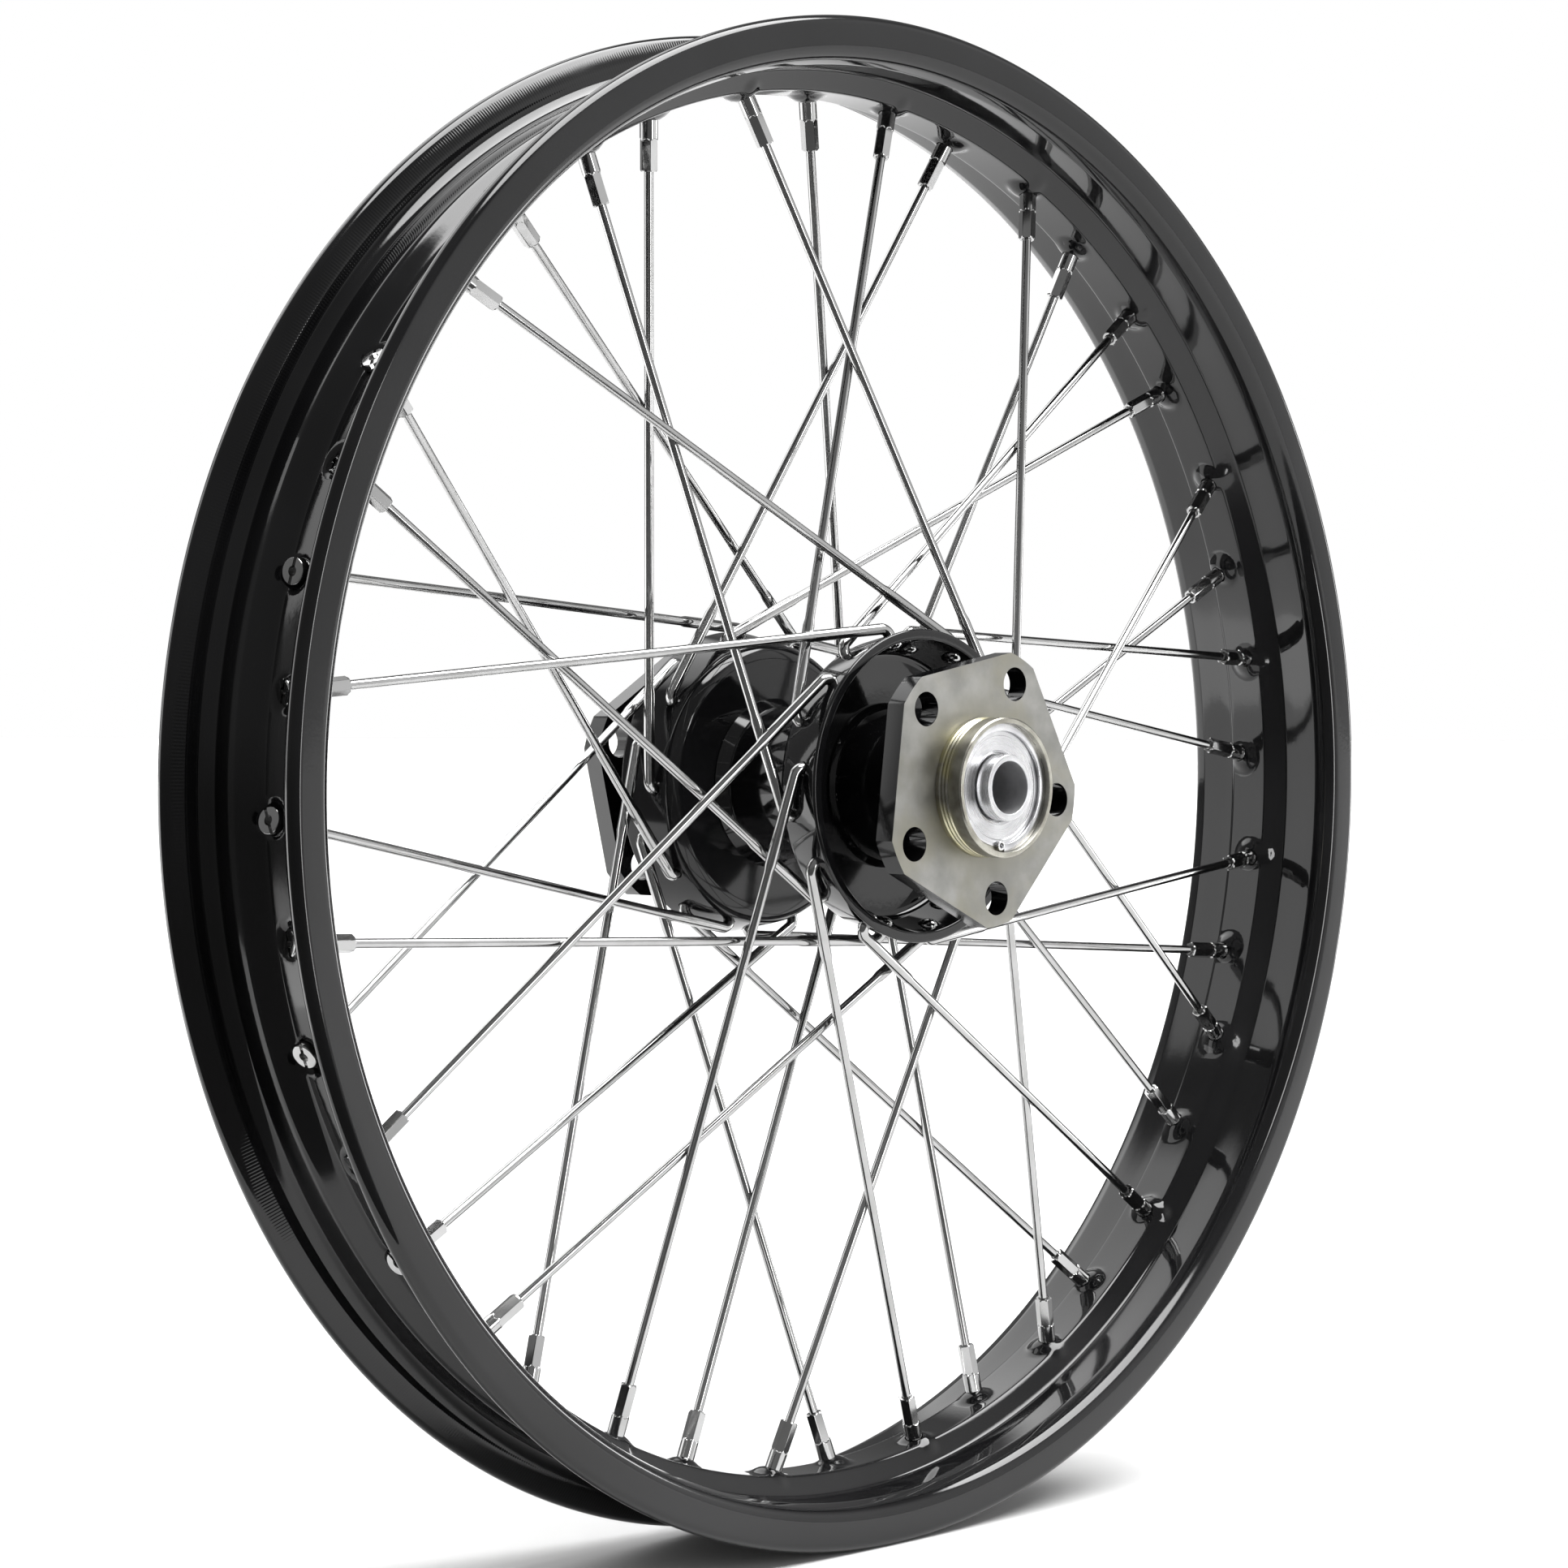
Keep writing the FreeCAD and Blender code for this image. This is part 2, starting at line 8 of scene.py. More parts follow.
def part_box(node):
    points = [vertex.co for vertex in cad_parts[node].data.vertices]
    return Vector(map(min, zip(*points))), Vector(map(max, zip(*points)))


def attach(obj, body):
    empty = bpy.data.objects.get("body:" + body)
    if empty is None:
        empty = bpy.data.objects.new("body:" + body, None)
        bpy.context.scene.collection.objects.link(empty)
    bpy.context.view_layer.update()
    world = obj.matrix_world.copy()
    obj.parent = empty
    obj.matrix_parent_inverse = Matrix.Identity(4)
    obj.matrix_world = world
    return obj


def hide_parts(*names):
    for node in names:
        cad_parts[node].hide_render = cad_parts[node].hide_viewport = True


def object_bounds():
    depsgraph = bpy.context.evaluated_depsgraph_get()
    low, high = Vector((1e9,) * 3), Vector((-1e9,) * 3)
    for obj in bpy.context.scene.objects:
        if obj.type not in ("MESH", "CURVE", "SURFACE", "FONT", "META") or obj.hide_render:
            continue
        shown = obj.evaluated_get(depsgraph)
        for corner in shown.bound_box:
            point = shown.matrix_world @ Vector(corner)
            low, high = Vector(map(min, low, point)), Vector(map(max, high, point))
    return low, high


# Looks of the spoked motorcycle wheel. Shape sizes below are millimetres in the part's frame: +Y is the
# axle (right side), +Z is up, and angles count round the axle from +X towards +Z. MM makes them metres.
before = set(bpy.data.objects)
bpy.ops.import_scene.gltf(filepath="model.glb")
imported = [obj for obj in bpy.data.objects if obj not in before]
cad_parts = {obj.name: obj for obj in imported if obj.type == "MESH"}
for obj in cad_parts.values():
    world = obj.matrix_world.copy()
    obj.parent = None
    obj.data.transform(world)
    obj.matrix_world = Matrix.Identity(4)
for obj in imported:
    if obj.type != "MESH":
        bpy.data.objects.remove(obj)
cad_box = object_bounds()
MM = 0.001

# --- rim -------------------------------------------------------------------------------------
RIM_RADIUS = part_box("rim")[1].z / MM
RIM_HALF_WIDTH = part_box("rim")[1].y / MM
BEAD_SEAT_RADIUS = 267.5
WELL_RADIUS = 257.5
SHEET = 2.5                    # thickness of the rim's sheet
WELL_HALF_WIDTH = 8.6
SHOULDER_RADIUS = 264.9
SHOULDER_HALF_WIDTH = 13.8
BEAD_HALF_WIDTH = 27.3
FLANGE_FOOT_HALF_WIDTH = 29.6
FLANGE_FOOT_RADIUS = 264.6
FLANGE_CORNER_RADIUS = 267.0
FLANGE_CORNER_ROUND = 6.0
LEAN_RADIUS = 274.5            # where the flange starts to lean outwards, tyre side
LEAN_HALF_WIDTH = 28.3
CREST_HALF_WIDTH = 31.6
FLANGE_RIBS = 1440.0           # fine ribs round the inside of each flange
RIM_COLUMNS = 1200             # round the rim, 30 for each dimple
DIMPLE_ZONE_HALF_WIDTH = 15.0
VALVE_HOLE_RADIUS = 4.2
VALVE_HOLE_ANGLE = 222.14

SPOKE_COUNT = 40
SPOKES_PER_GROUP = 10
SPOKE_PITCH = 360.0 / SPOKE_COUNT
FIRST_SPOKE_ANGLE = 100.64
DIMPLE_CENTRE_RADIUS = 264.1
DIMPLE_OUTER_BALL = 9.5
DIMPLE_INNER_BALL = 7.1
DIMPLE_OUTER_FOOT = 0.9        # how far the pressed foot blends into the well
DIMPLE_INNER_FOOT = 1.6
NIPPLE_HOLE_RADIUS = 3.55

# --- hub -------------------------------------------------------------------------------------
NECK_RADIUS = 28.6
WEB_COLLAR_RADIUS = 32.5
WEB_COLLAR_FOOT = 21.8         # where the cone that backs each web starts
COLLAR_RADIUS = 25.4
COLLAR_END = 91.5
FLANGE_SEAT_RADIUS = 30.5
WEB_INNER_FACE = 26.5
WEB_OUTER_FACE = 30.5
BAND_FOOT_RADIUS = 52.8
BAND_FOOT_ROUND = 7.0
BAND_LIP_RADIUS = 57.85
BAND_LIP_FACE = 50.6
BAND_LIP_WIDTH = 4.0
BAND_BORE_FOOT_RADIUS = 49.0
SEAT_GAP = 0.02                # between parts that are pressed together
STAR_INNER_FACE = 71.5
STAR_OUTER_FACE = 79.5
STAR_CORNER_RADIUS = 51.3
STAR_FLAT_RADIUS = 45.1
STAR_BOLT_CIRCLE = 82.55
STAR_POINTS = 5
STAR_BEVEL = 0.5
STAR_FLANGES = {"left": (-7.35, 6.2), "right": (13.85, 5.95)}  # first hole's angle, hole radius
THREAD_START = 80.6            # thread on each collar, for the disc's retaining ring
THREAD_PITCH = 1.7
THREAD_TURNS = 3
THREAD_DEPTH = 0.4

AXLE_BORE_RADIUS = 9.58
SLEEVE_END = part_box("inner_sleeve")[1].y / MM
SLEEVE_END_RADIUS = 12.0
SLEEVE_TRACK_RADIUS = 12.7
SLEEVE_TRACK_END = 85.0
SLEEVE_CONE_START = 50.0
SLEEVE_CONE_END = 54.0
HOUSING_RADIUS = 21.5
HOUSING_SHOULDER = 58.0
CHAMBER_RADIUS = 24.0
CHAMBER_LIP_RADIUS = 19.0
CHAMBER_LIP_END = 55.0
CHAMBER_END = 50.0
WASHER_BORE_RADIUS = 12.5
SEAL_END = 85.0
OUTER_WASHER_END = 87.8
WASHER_DISH_RADIUS = 18.7      # shallow dish in the washer's outer face
WASHER_DISH_DEPTH = 0.35
LOCK_RING_END = 89.3
MOUTH_RADIUS = 23.3
LOCK_GROOVE_RADIUS = 23.9
LOCK_RING_BORE_RADIUS = 20.4
LOCK_RING_GAP_START = 213.0
LOCK_RING_EYE_ANGLE = 268.5
LOCK_RING_EYE_OFFSET = 0.6
LOCK_RING_EYE_RADIUS = 1.9
LOCK_RING_EYE_HOLE_RADIUS = 1.0

# --- spokes and nipples ----------------------------------------------------------------------
SPOKE_RADIUS = 1.7
BUTT_RADIUS = 2.1
BUTT_LENGTH = 33.0
BUTT_TAPER = 2.5
SPOKE_HOLE_RADIUS = 2.35
SPOKE_HEAD_RADIUS = 3.7
SPOKE_HEAD_HEIGHT = 2.3
ELBOW_BEND_RADIUS = 3.8
SPOKE_LEAD = 72.0              # angle round the hub between a spoke's two ends
SPOKE_TIP = 6.0                # how far short of the dimple's centre the spoke ends
BAND_SLOPE = math.atan2(BAND_LIP_RADIUS - BAND_FOOT_RADIUS, BAND_LIP_FACE - WEB_INNER_FACE)
NIPPLE_RADIUS = 3.3
NIPPLE_LENGTH = 27.2
NIPPLE_FLATS_LENGTH = 10.2
NIPPLE_FLAT_RADIUS = 2.87
NIPPLE_HEAD_RADIUS = 4.75
NIPPLE_HEAD_TOP = 2.7
NIPPLE_BORE_RADIUS = 1.75
NIPPLE_SLOT_WIDTH = 1.3
NIPPLE_SLOT_DEPTH = 1.5

# Rows of holes in each spoke flange. lead is the way that the spokes lean, row is the distance from the
# middle plane, elbow and seat are the radii of the bend and of the head's seat, and well is the dimples'
# distance from the middle plane.
OUTER_ROW = {"lead": 1, "row": 42.5, "elbow": 58.8, "seat": 52.6, "well": 2.4}
INNER_ROW = {"lead": -1, "row": 35.0, "elbow": 57.6, "seat": 50.8, "well": 2.1}
# order counts the four groups round the rim.
SPOKE_GROUPS = {
    "left_outer": {"side": -1, "order": 0, **OUTER_ROW},
    "right_outer": {"side": 1, "order": 1, **OUTER_ROW},
    "left_inner": {"side": -1, "order": 2, **INNER_ROW},
    "right_inner": {"side": 1, "order": 3, **INNER_ROW},
}
GROUP_TURNS = [360.0 * k / SPOKES_PER_GROUP for k in range(SPOKES_PER_GROUP)]
SIDES = {"left": -1, "right": 1}
AXLE = Vector((0, 1, 0))
UP = Vector((0, 0, 1))

# --- finishes ------------------------------------------------------------------------------------
# Where a finish fades in: the two ends of a ramp, in metres.
RIBS_RADIUS_START = (0.2705, 0.273)
RIBS_RADIUS_END = (0.2805, 0.2785)
RIBS_SIDE_START = (0.0272, 0.028)
RIBS_SIDE_END = (0.0335, 0.032)
COLLAR_BARE = (0.0714, 0.0716)
COLLAR_ZINC_END = (0.0885, 0.0835)
STAR_BARE = (0.07925, 0.07945)
STAR_OILY_RADIUS = (0.040, 0.026)
AXLE_BORE_WALL = (0.0099, 0.0097)

# One colour, or the two shades that a finish wanders between.
BLACK = (0.0035, 0.0035, 0.0038)
BLACK_HAZE = (0.007, 0.007, 0.0075)
COLLAR_STEEL = ((0.26, 0.25, 0.215), (0.44, 0.43, 0.38))
COLLAR_ZINC = ((0.40, 0.37, 0.20), (0.48, 0.455, 0.32))
STAR_STEEL = ((0.19, 0.189, 0.178), (0.31, 0.308, 0.292))
STAR_OIL = (0.23, 0.221, 0.178)
GROUND_STEEL = ((0.50, 0.50, 0.51), (0.66, 0.66, 0.67))
SPRING_STEEL = ((0.45, 0.45, 0.46), (0.68, 0.68, 0.69))
CHROME = ((0.44, 0.44, 0.44), (0.37, 0.37, 0.365))
BRONZE = ((0.42, 0.27, 0.09), (0.58, 0.41, 0.18))
CORK = ((0.42, 0.27, 0.13), (0.2, 0.11, 0.05))
FLOOR_WHITE = ((0.60, 0.60, 0.60), (0.64, 0.64, 0.64))
LIGHT_WHITE = (1.0, 1.0, 1.0, 1.0)
ENAMEL_SPECULAR = 0.42

# --- camera and studio, in metres ----------------------------------------------------------------
CAMERA_AZIMUTH = -45.97
CAMERA_ELEVATION = 1.19
CAMERA_DISTANCE = 1.506
CAMERA_LENS = 91.98            # millimetres, as is the sensor
CAMERA_SENSOR = 36.0
CAMERA_SHIFT = -0.026
FLOOR_SIZE = 30.0
FLOOR_FACING = -122.0          # azimuth that the floor's front edge faces
FLOOR_FRONT = 0.34             # from the wheel's middle to that edge
ROOM_LIGHT = 0.15
PANELS = (                     # azimuth, elevation, angle at full strength, angle at none, strength
    (138.0, 68.0, 23.0, 26.0, 12.5),
    (8.0, 47.0, 21.0, 29.0, 2.3),
    (134.0, 5.0, 22.0, 50.0, 0.85),
    (0.0, 90.0, 82.0, 95.0, 0.1),
)
SOFTBOXES = {                  # place, point it faces, width, height, power
    "front_strip": ((0.12, -2.6, 0.25), (0, 0, 0), 0.3, 1.7, 17.0),
    "left_card": ((-0.42, 0.52, 0.05), (0.25, 0, 0), 0.34, 0.8, 1.5),
    "right_strip": ((2.1, -0.6, 0.0), (0, 0, 0), 0.26, 1.0, 7.5),
}


# --- points, outlines and meshes ----------------------------------------------------------------

def polar(radius, angle, y=0.0):
    """Point at a radius and an angle round the axle."""
    turn = math.radians(angle)
    return Vector((radius * math.cos(turn), y, radius * math.sin(turn)))


def rounded(points, step=9.0):
    """Closed outline through (radius, y) points, with an arc where a corner radius is given third."""
    outline = []
    for index, point in enumerate(points):
        corner = Vector(point[:2])
        if len(point) < 3:
            outline.append(corner)
            continue
        before = (Vector(points[index - 1][:2]) - corner).normalized()
        after = (Vector(points[(index + 1) % len(points)][:2]) - corner).normalized()
        half = before.angle(after) / 2
        centre = corner + (before + after).normalized() * point[2] / math.sin(half)
        start = corner + before * point[2] / math.tan(half) - centre
        sweep = math.pi - 2 * half
        if before.x * after.y - before.y * after.x > 0:
            sweep = -sweep
        count = max(2, math.ceil(abs(math.degrees(sweep)) / step))
        for k in range(count + 1):
            outline.append(centre + Matrix.Rotation(sweep * k / count, 2) @ start)
    return outline


def mirrored(half):
    """The half outline followed by its mirror image across the wheel's middle plane."""
    return half + [(point[0], -point[1]) + tuple(point[2:]) for point in reversed(half)]


def flipped(points, side):
    """Outline points on the right side, or their mirror image on the left."""
    return [(point[0], side * point[1]) + tuple(point[2:]) for point in points]


def with_points(outline, longest):
    """The closed outline with extra points on runs longer than longest(middle of the run)."""
    dense = []
    for start, end in zip(outline, outline[1:] + outline[:1]):
        count = max(1, math.ceil((end - start).length / longest((start + end) / 2)))
        dense += [start.lerp(end, k / count) for k in range(count)]
    return dense


def lathe(outline, columns=240, shaped=None):
    """Mesh of an outline turned round the axle. shaped(radius, y, angle) can move a point's radius."""
    rows = len(outline)
    vertices = []
    for column in range(columns):
        angle = 360.0 * column / columns
        for radius, y in outline:
            vertices.append(polar(shaped(radius, y, angle) if shaped else radius, angle, y) * MM)
    faces = []
    for column in range(columns):
        here, there = column * rows, (column + 1) % columns * rows
        for row in range(rows):
            above = (row + 1) % rows
            faces.append((here + row, there + row, there + above, here + above))
    return mesh_of(vertices, faces)


def mesh_of(vertices, faces, name="shape"):
    """Mesh with its faces turned outwards."""
    mesh = bpy.data.meshes.new(name)
    mesh.from_pydata([tuple(v) for v in vertices], [], faces)
    shape = bmesh.new()
    shape.from_mesh(mesh)
    bmesh.ops.recalc_face_normals(shape, faces=shape.faces)
    shape.to_mesh(mesh)
    shape.free()
    return mesh


def swept(stations, sides=20):
    """Round bar through stations, each a centre, direction and radius, kept square to one bend axis."""
    bend_axis = stations[-1][1].cross(stations[0][1]).normalized()
    vertices = []
    for centre, direction, radius in stations:
        across = bend_axis.cross(direction)
        for k in range(sides):
            turn = 2 * math.pi * k / sides
            spread = bend_axis * math.cos(turn) + across * math.sin(turn)
            vertices.append((centre + spread * radius) * MM)
    faces = [tuple(range(sides)), tuple(range(len(vertices) - sides, len(vertices)))]
    for station in range(len(stations) - 1):
        for k in range(sides):
            low, high = station * sides, (station + 1) * sides
            after = (k + 1) % sides
            faces.append((low + k, low + after, high + after, high + k))
    return mesh_of(vertices, faces)


def rod(start, end, radius, sides=48):
    """Straight round bar, used as a cutter."""
    direction = (end - start).normalized()
    across = direction.orthogonal().normalized()
    around = direction.cross(across)
    ring = [across * math.cos(2 * math.pi * k / sides) + around * math.sin(2 * math.pi * k / sides)
            for k in range(sides)]
    vertices = [(start + r * radius) * MM for r in ring] + [(end + r * radius) * MM for r in ring]
    faces = [tuple(range(sides)), tuple(range(sides, 2 * sides))]
    faces += [(k, (k + 1) % sides, sides + (k + 1) % sides, sides + k) for k in range(sides)]
    return mesh_of(vertices, faces)


def block(xs, ys, zs):
    """Box between two values on each axis, used as a cutter."""
    vertices = [Vector((x, y, z)) * MM for x in xs for y in ys for z in zs]
    faces = [(0, 1, 3, 2), (4, 5, 7, 6), (0, 1, 5, 4), (2, 3, 7, 6), (0, 2, 6, 4), (1, 3, 7, 5)]
    return mesh_of(vertices, faces)


def turned_by(mesh, angle):
    """Turns a mesh round the axle."""
    mesh.transform(Matrix.Rotation(math.radians(-angle), 4, AXLE))
    return mesh


def modified(blank):
    """The object's mesh with its modifiers applied."""
    bpy.context.view_layer.update()
    depsgraph = bpy.context.evaluated_depsgraph_get()
    return bpy.data.meshes.new_from_object(blank.evaluated_get(depsgraph))


def cut(mesh, cutters):
    """The mesh with the cutter meshes, which don't touch each other, taken away."""
    joined = bmesh.new()
    for cutter in cutters:
        joined.from_mesh(cutter)
        bpy.data.meshes.remove(cutter)
    tool_mesh = bpy.data.meshes.new("tool")
    joined.to_mesh(tool_mesh)
    joined.free()
    blank = bpy.data.objects.new("blank", mesh)
    tool = bpy.data.objects.new("tool", tool_mesh)
    for made in (blank, tool):
        bpy.context.scene.collection.objects.link(made)
    boolean = blank.modifiers.new("cut", "BOOLEAN")
    boolean.operation = "DIFFERENCE"
    boolean.object = tool
    result = modified(blank)
    for made in (blank, tool):
        bpy.data.objects.remove(made)
    return result


def bevelled(mesh, width):
    """The mesh with its sharp edges bevelled."""
    blank = bpy.data.objects.new("blank", mesh)
    bpy.context.scene.collection.objects.link(blank)
    bevel = blank.modifiers.new("bevel", "BEVEL")
    bevel.width = width * MM
    bevel.segments = 2
    bevel.limit_method = "ANGLE"
    bevel.angle_limit = math.radians(40)
    result = modified(blank)
    bpy.data.objects.remove(blank)
    return result


def piece(name, mesh, material, nodes, body="wheel", turn=0.0, sharp=32.0):
    """Places a finished mesh as a piece that rides on a body and stands for its CAD nodes."""
    mesh.shade_smooth()
    mesh.set_sharp_from_angle(angle=math.radians(sharp))
    if not mesh.materials:
        mesh.materials.append(material)
    made = bpy.data.objects.new(name, mesh)
    made.matrix_world = Matrix.Rotation(math.radians(-turn), 4, AXLE)
    bpy.context.scene.collection.objects.link(made)
    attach(made, body)
    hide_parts(*nodes)
    return made


# --- spoke lines ---------------------------------------------------------------------------------

def rim_angle(group):
    return FIRST_SPOKE_ANGLE - group["order"] * SPOKE_PITCH


def hub_angle(group):
    return rim_angle(group) - group["lead"] * SPOKE_LEAD


def rim_point(group):
    return polar(DIMPLE_CENTRE_RADIUS, rim_angle(group), group["side"] * group["well"])


def elbow_point(group):
    return polar(group["elbow"], hub_angle(group), group["side"] * group["row"])


def shank_direction(group):
    """Out of the hub, square to the flared band of the spoke flange."""
    return polar(math.cos(BAND_SLOPE), hub_angle(group), -group["side"] * math.sin(BAND_SLOPE))


def seat_point(group):
    length = (group["elbow"] - group["seat"]) / math.cos(BAND_SLOPE)
    return elbow_point(group) - shank_direction(group) * length


def spoke_direction(group):
    """From the rim towards the hub."""
    return (elbow_point(group) - rim_point(group)).normalized()


# --- node materials ------------------------------------------------------------------------------

class Nodes:
    """A node tree, with short calls for the nodes that the finishes and the studio share."""

    def __init__(self, owner, place="Object"):
        owner.use_nodes = True
        self.material = owner
        self.tree = owner.node_tree
        self.shader = self.tree.nodes.get("Principled BSDF")
        self.place = self.new("ShaderNodeTexCoord").outputs[place]

    def new(self, kind):
        return self.tree.nodes.new(kind)

    def join(self, output, socket):
        self.tree.links.new(output, socket)

    def math(self, operation, first, second=0.0, clamp=False):
        node = self.new("ShaderNodeMath")
        node.operation = operation
        node.use_clamp = clamp
        for socket, value in zip(node.inputs, (first, second)):
            if isinstance(value, (int, float)):
                socket.default_value = value
            else:
                self.join(value, socket)
        return node.outputs[0]

    def ramp(self, value, low, high, start=0.0, end=1.0):
        """Maps value from low..high to start..end, smoothly and clamped."""
        node = self.new("ShaderNodeMapRange")
        node.interpolation_type = "SMOOTHSTEP"
        self.join(value, node.inputs["Value"])
        node.inputs["From Min"].default_value = low
        node.inputs["From Max"].default_value = high
        node.inputs["To Min"].default_value = start
        node.inputs["To Max"].default_value = end
        return node.outputs["Result"]

    def noise(self, scale, detail=3.0, place=None):
        node = self.new("ShaderNodeTexNoise")
        self.join(place or self.place, node.inputs["Vector"])
        node.inputs["Scale"].default_value = scale
        node.inputs["Detail"].default_value = detail
        return node.outputs["Fac"]

    def mix(self, share, first, second):
        """Colour that goes from first to second as share goes from 0 to 1."""
        node = self.new("ShaderNodeMix")
        node.data_type = "RGBA"
        self.join(share, node.inputs["Factor"])
        for socket, value in ((node.inputs["A"], first), (node.inputs["B"], second)):
            if isinstance(value, tuple):
                socket.default_value = value + (1.0,)
            else:
                self.join(value, socket)
        return node.outputs["Result"]

    def axes(self):
        """Separate x, y and z of the place on the piece, in metres."""
        node = self.new("ShaderNodeSeparateXYZ")
        self.join(self.place, node.inputs[0])
        return node.outputs

    def axle_radius(self):
        x, _, z = self.axes()
        squares = self.math("MULTIPLY", x, x), self.math("MULTIPLY", z, z)
        return self.math("SQRT", self.math("ADD", *squares))

    def side_distance(self):
        return self.math("ABSOLUTE", self.axes()[1])

    def rings(self, scale):
        """Noise that is the same all round the axle, as a turning tool leaves it."""
        node = self.new("ShaderNodeCombineXYZ")
        self.join(self.axle_radius(), node.inputs[0])
        self.join(self.axes()[1], node.inputs[1])
        return self.noise(scale, 2.0, node.outputs[0])

    def bump(self, height, strength, distance):
        node = self.new("ShaderNodeBump")
        node.inputs["Strength"].default_value = strength
        node.inputs["Distance"].default_value = distance
        self.join(height, node.inputs["Height"])
        self.join(node.outputs["Normal"], self.shader.inputs["Normal"])

    def set(self, **values):
        for name, value in values.items():
            socket = self.shader.inputs[name.replace("_", " ")]
            if isinstance(value, (int, float)):
                socket.default_value = value
            elif isinstance(value, tuple):
                socket.default_value = value + (1.0,)
            else:
                self.join(value, socket)


def gloss_black_material():
    """Stoved gloss enamel with slight orange peel, and the fine ribs inside each rim flange."""
    nodes = Nodes(bpy.data.materials.new("gloss_black"))
    haze = nodes.ramp(nodes.noise(14.0), 0.35, 0.7)
    nodes.set(Base_Color=nodes.mix(haze, BLACK, BLACK_HAZE))
    nodes.set(Roughness=nodes.ramp(haze, 0.0, 1.0, 0.05, 0.11), Specular_IOR_Level=ENAMEL_SPECULAR)
    radius = nodes.axle_radius()
    x, _, z = nodes.axes()
    angle = nodes.math("ARCTAN2", z, x)
    ribs = nodes.math("SINE", nodes.math("MULTIPLY", angle, FLANGE_RIBS))
    distance = nodes.side_distance()
    for value, ends in ((radius, RIBS_RADIUS_START), (radius, RIBS_RADIUS_END),
                        (distance, RIBS_SIDE_END), (distance, RIBS_SIDE_START)):
        ribs = nodes.math("MULTIPLY", ribs, nodes.ramp(value, *ends))
    peel = nodes.math("MULTIPLY", nodes.noise(420.0, 2.0), 0.5)
    nodes.bump(nodes.math("ADD", peel, nodes.math("MULTIPLY", ribs, 0.9)), 0.35, 0.00004)
    return nodes.material


def wandering(nodes, shades, scale):
    """Metal colour that wanders between two shades."""
    return nodes.mix(nodes.ramp(nodes.noise(scale, 5.0), 0.3, 0.72), *shades)


def hub_material():
    """Gloss enamel on the barrel; bare turned steel with traces of yellow zinc on the collars."""
    nodes = Nodes(bpy.data.materials.new("hub_finish"))
    distance = nodes.side_distance()
    bare = nodes.ramp(distance, *COLLAR_BARE)
    traces = nodes.ramp(nodes.noise(70.0, 5.0), 0.38, 0.6)
    zinc_zone = nodes.math("MULTIPLY", nodes.ramp(distance, *COLLAR_ZINC_END), traces)
    steel = wandering(nodes, COLLAR_STEEL, 160.0)
    zinc = nodes.mix(nodes.ramp(nodes.noise(45.0), 0.35, 0.65), *COLLAR_ZINC)
    nodes.set(Base_Color=nodes.mix(bare, BLACK, nodes.mix(zinc_zone, steel, zinc)), Metallic=bare)
    rough = nodes.math("MULTIPLY", bare, nodes.ramp(nodes.rings(900.0), 0.3, 0.7, 0.2, 0.3))
    nodes.set(Roughness=nodes.math("ADD", rough, 0.06), Specular_IOR_Level=ENAMEL_SPECULAR)
    nodes.bump(nodes.math("MULTIPLY", nodes.rings(2600.0), bare), 0.4, 0.00003)
    return nodes.material


def star_material():
    """Machined outer face, oil-stained and faintly brushed; enamelled edges and inner face."""
    nodes = Nodes(bpy.data.materials.new("machined_steel"))
    bare = nodes.ramp(nodes.side_distance(), *STAR_BARE)
    stain = nodes.math("MULTIPLY", nodes.ramp(nodes.noise(38.0, 6.0), 0.42, 0.68), 0.75)
    near_bore = nodes.math("MULTIPLY", nodes.ramp(nodes.axle_radius(), *STAR_OILY_RADIUS), 0.55)
    oil = nodes.math("MAXIMUM", stain, near_bore)
    face = nodes.mix(oil, wandering(nodes, STAR_STEEL, 55.0), STAR_OIL)
    nodes.set(Base_Color=nodes.mix(bare, BLACK, face), Metallic=nodes.math("MULTIPLY", bare, 0.92))
    rough = nodes.math("MULTIPLY", bare, nodes.ramp(nodes.noise(90.0, 4.0), 0.3, 0.7, 0.30, 0.46))
    nodes.set(Roughness=nodes.math("ADD", rough, 0.08), Specular_IOR_Level=ENAMEL_SPECULAR)
    stretch = nodes.new("ShaderNodeMapping")
    stretch.inputs["Scale"].default_value = (1.0, 1.0, 14.0)
    nodes.join(nodes.place, stretch.inputs["Vector"])
    brushed = nodes.noise(420.0, 2.0, stretch.outputs["Vector"])
    nodes.bump(nodes.math("MULTIPLY", brushed, bare), 0.3, 0.00004)
    return nodes.material


def turned_steel_material(name, shades, low, high):
    """Ground or turned steel, with tool rings round the axle and a rougher axle bore."""
    nodes = Nodes(bpy.data.materials.new(name))
    rings = nodes.rings(1400.0)
    in_bore = nodes.math("MULTIPLY", nodes.ramp(nodes.axle_radius(), *AXLE_BORE_WALL), 0.22)
    rough = nodes.math("ADD", nodes.ramp(rings, 0.3, 0.7, low, high), in_bore)
    nodes.set(Base_Color=wandering(nodes, shades, 120.0), Metallic=1.0, Roughness=rough)
    nodes.bump(rings, 0.05, 0.00003)
    return nodes.material


def chrome_material():
    """Bright plate, with the slight ripple and haze of drawn wire."""
    nodes = Nodes(bpy.data.materials.new("bright_chrome"))
    haze = nodes.ramp(nodes.noise(60.0, 4.0), 0.35, 0.75)
    nodes.set(Base_Color=nodes.mix(haze, *CHROME), Metallic=1.0)
    nodes.set(Roughness=nodes.ramp(haze, 0.0, 1.0, 0.08, 0.15))
    return nodes.material


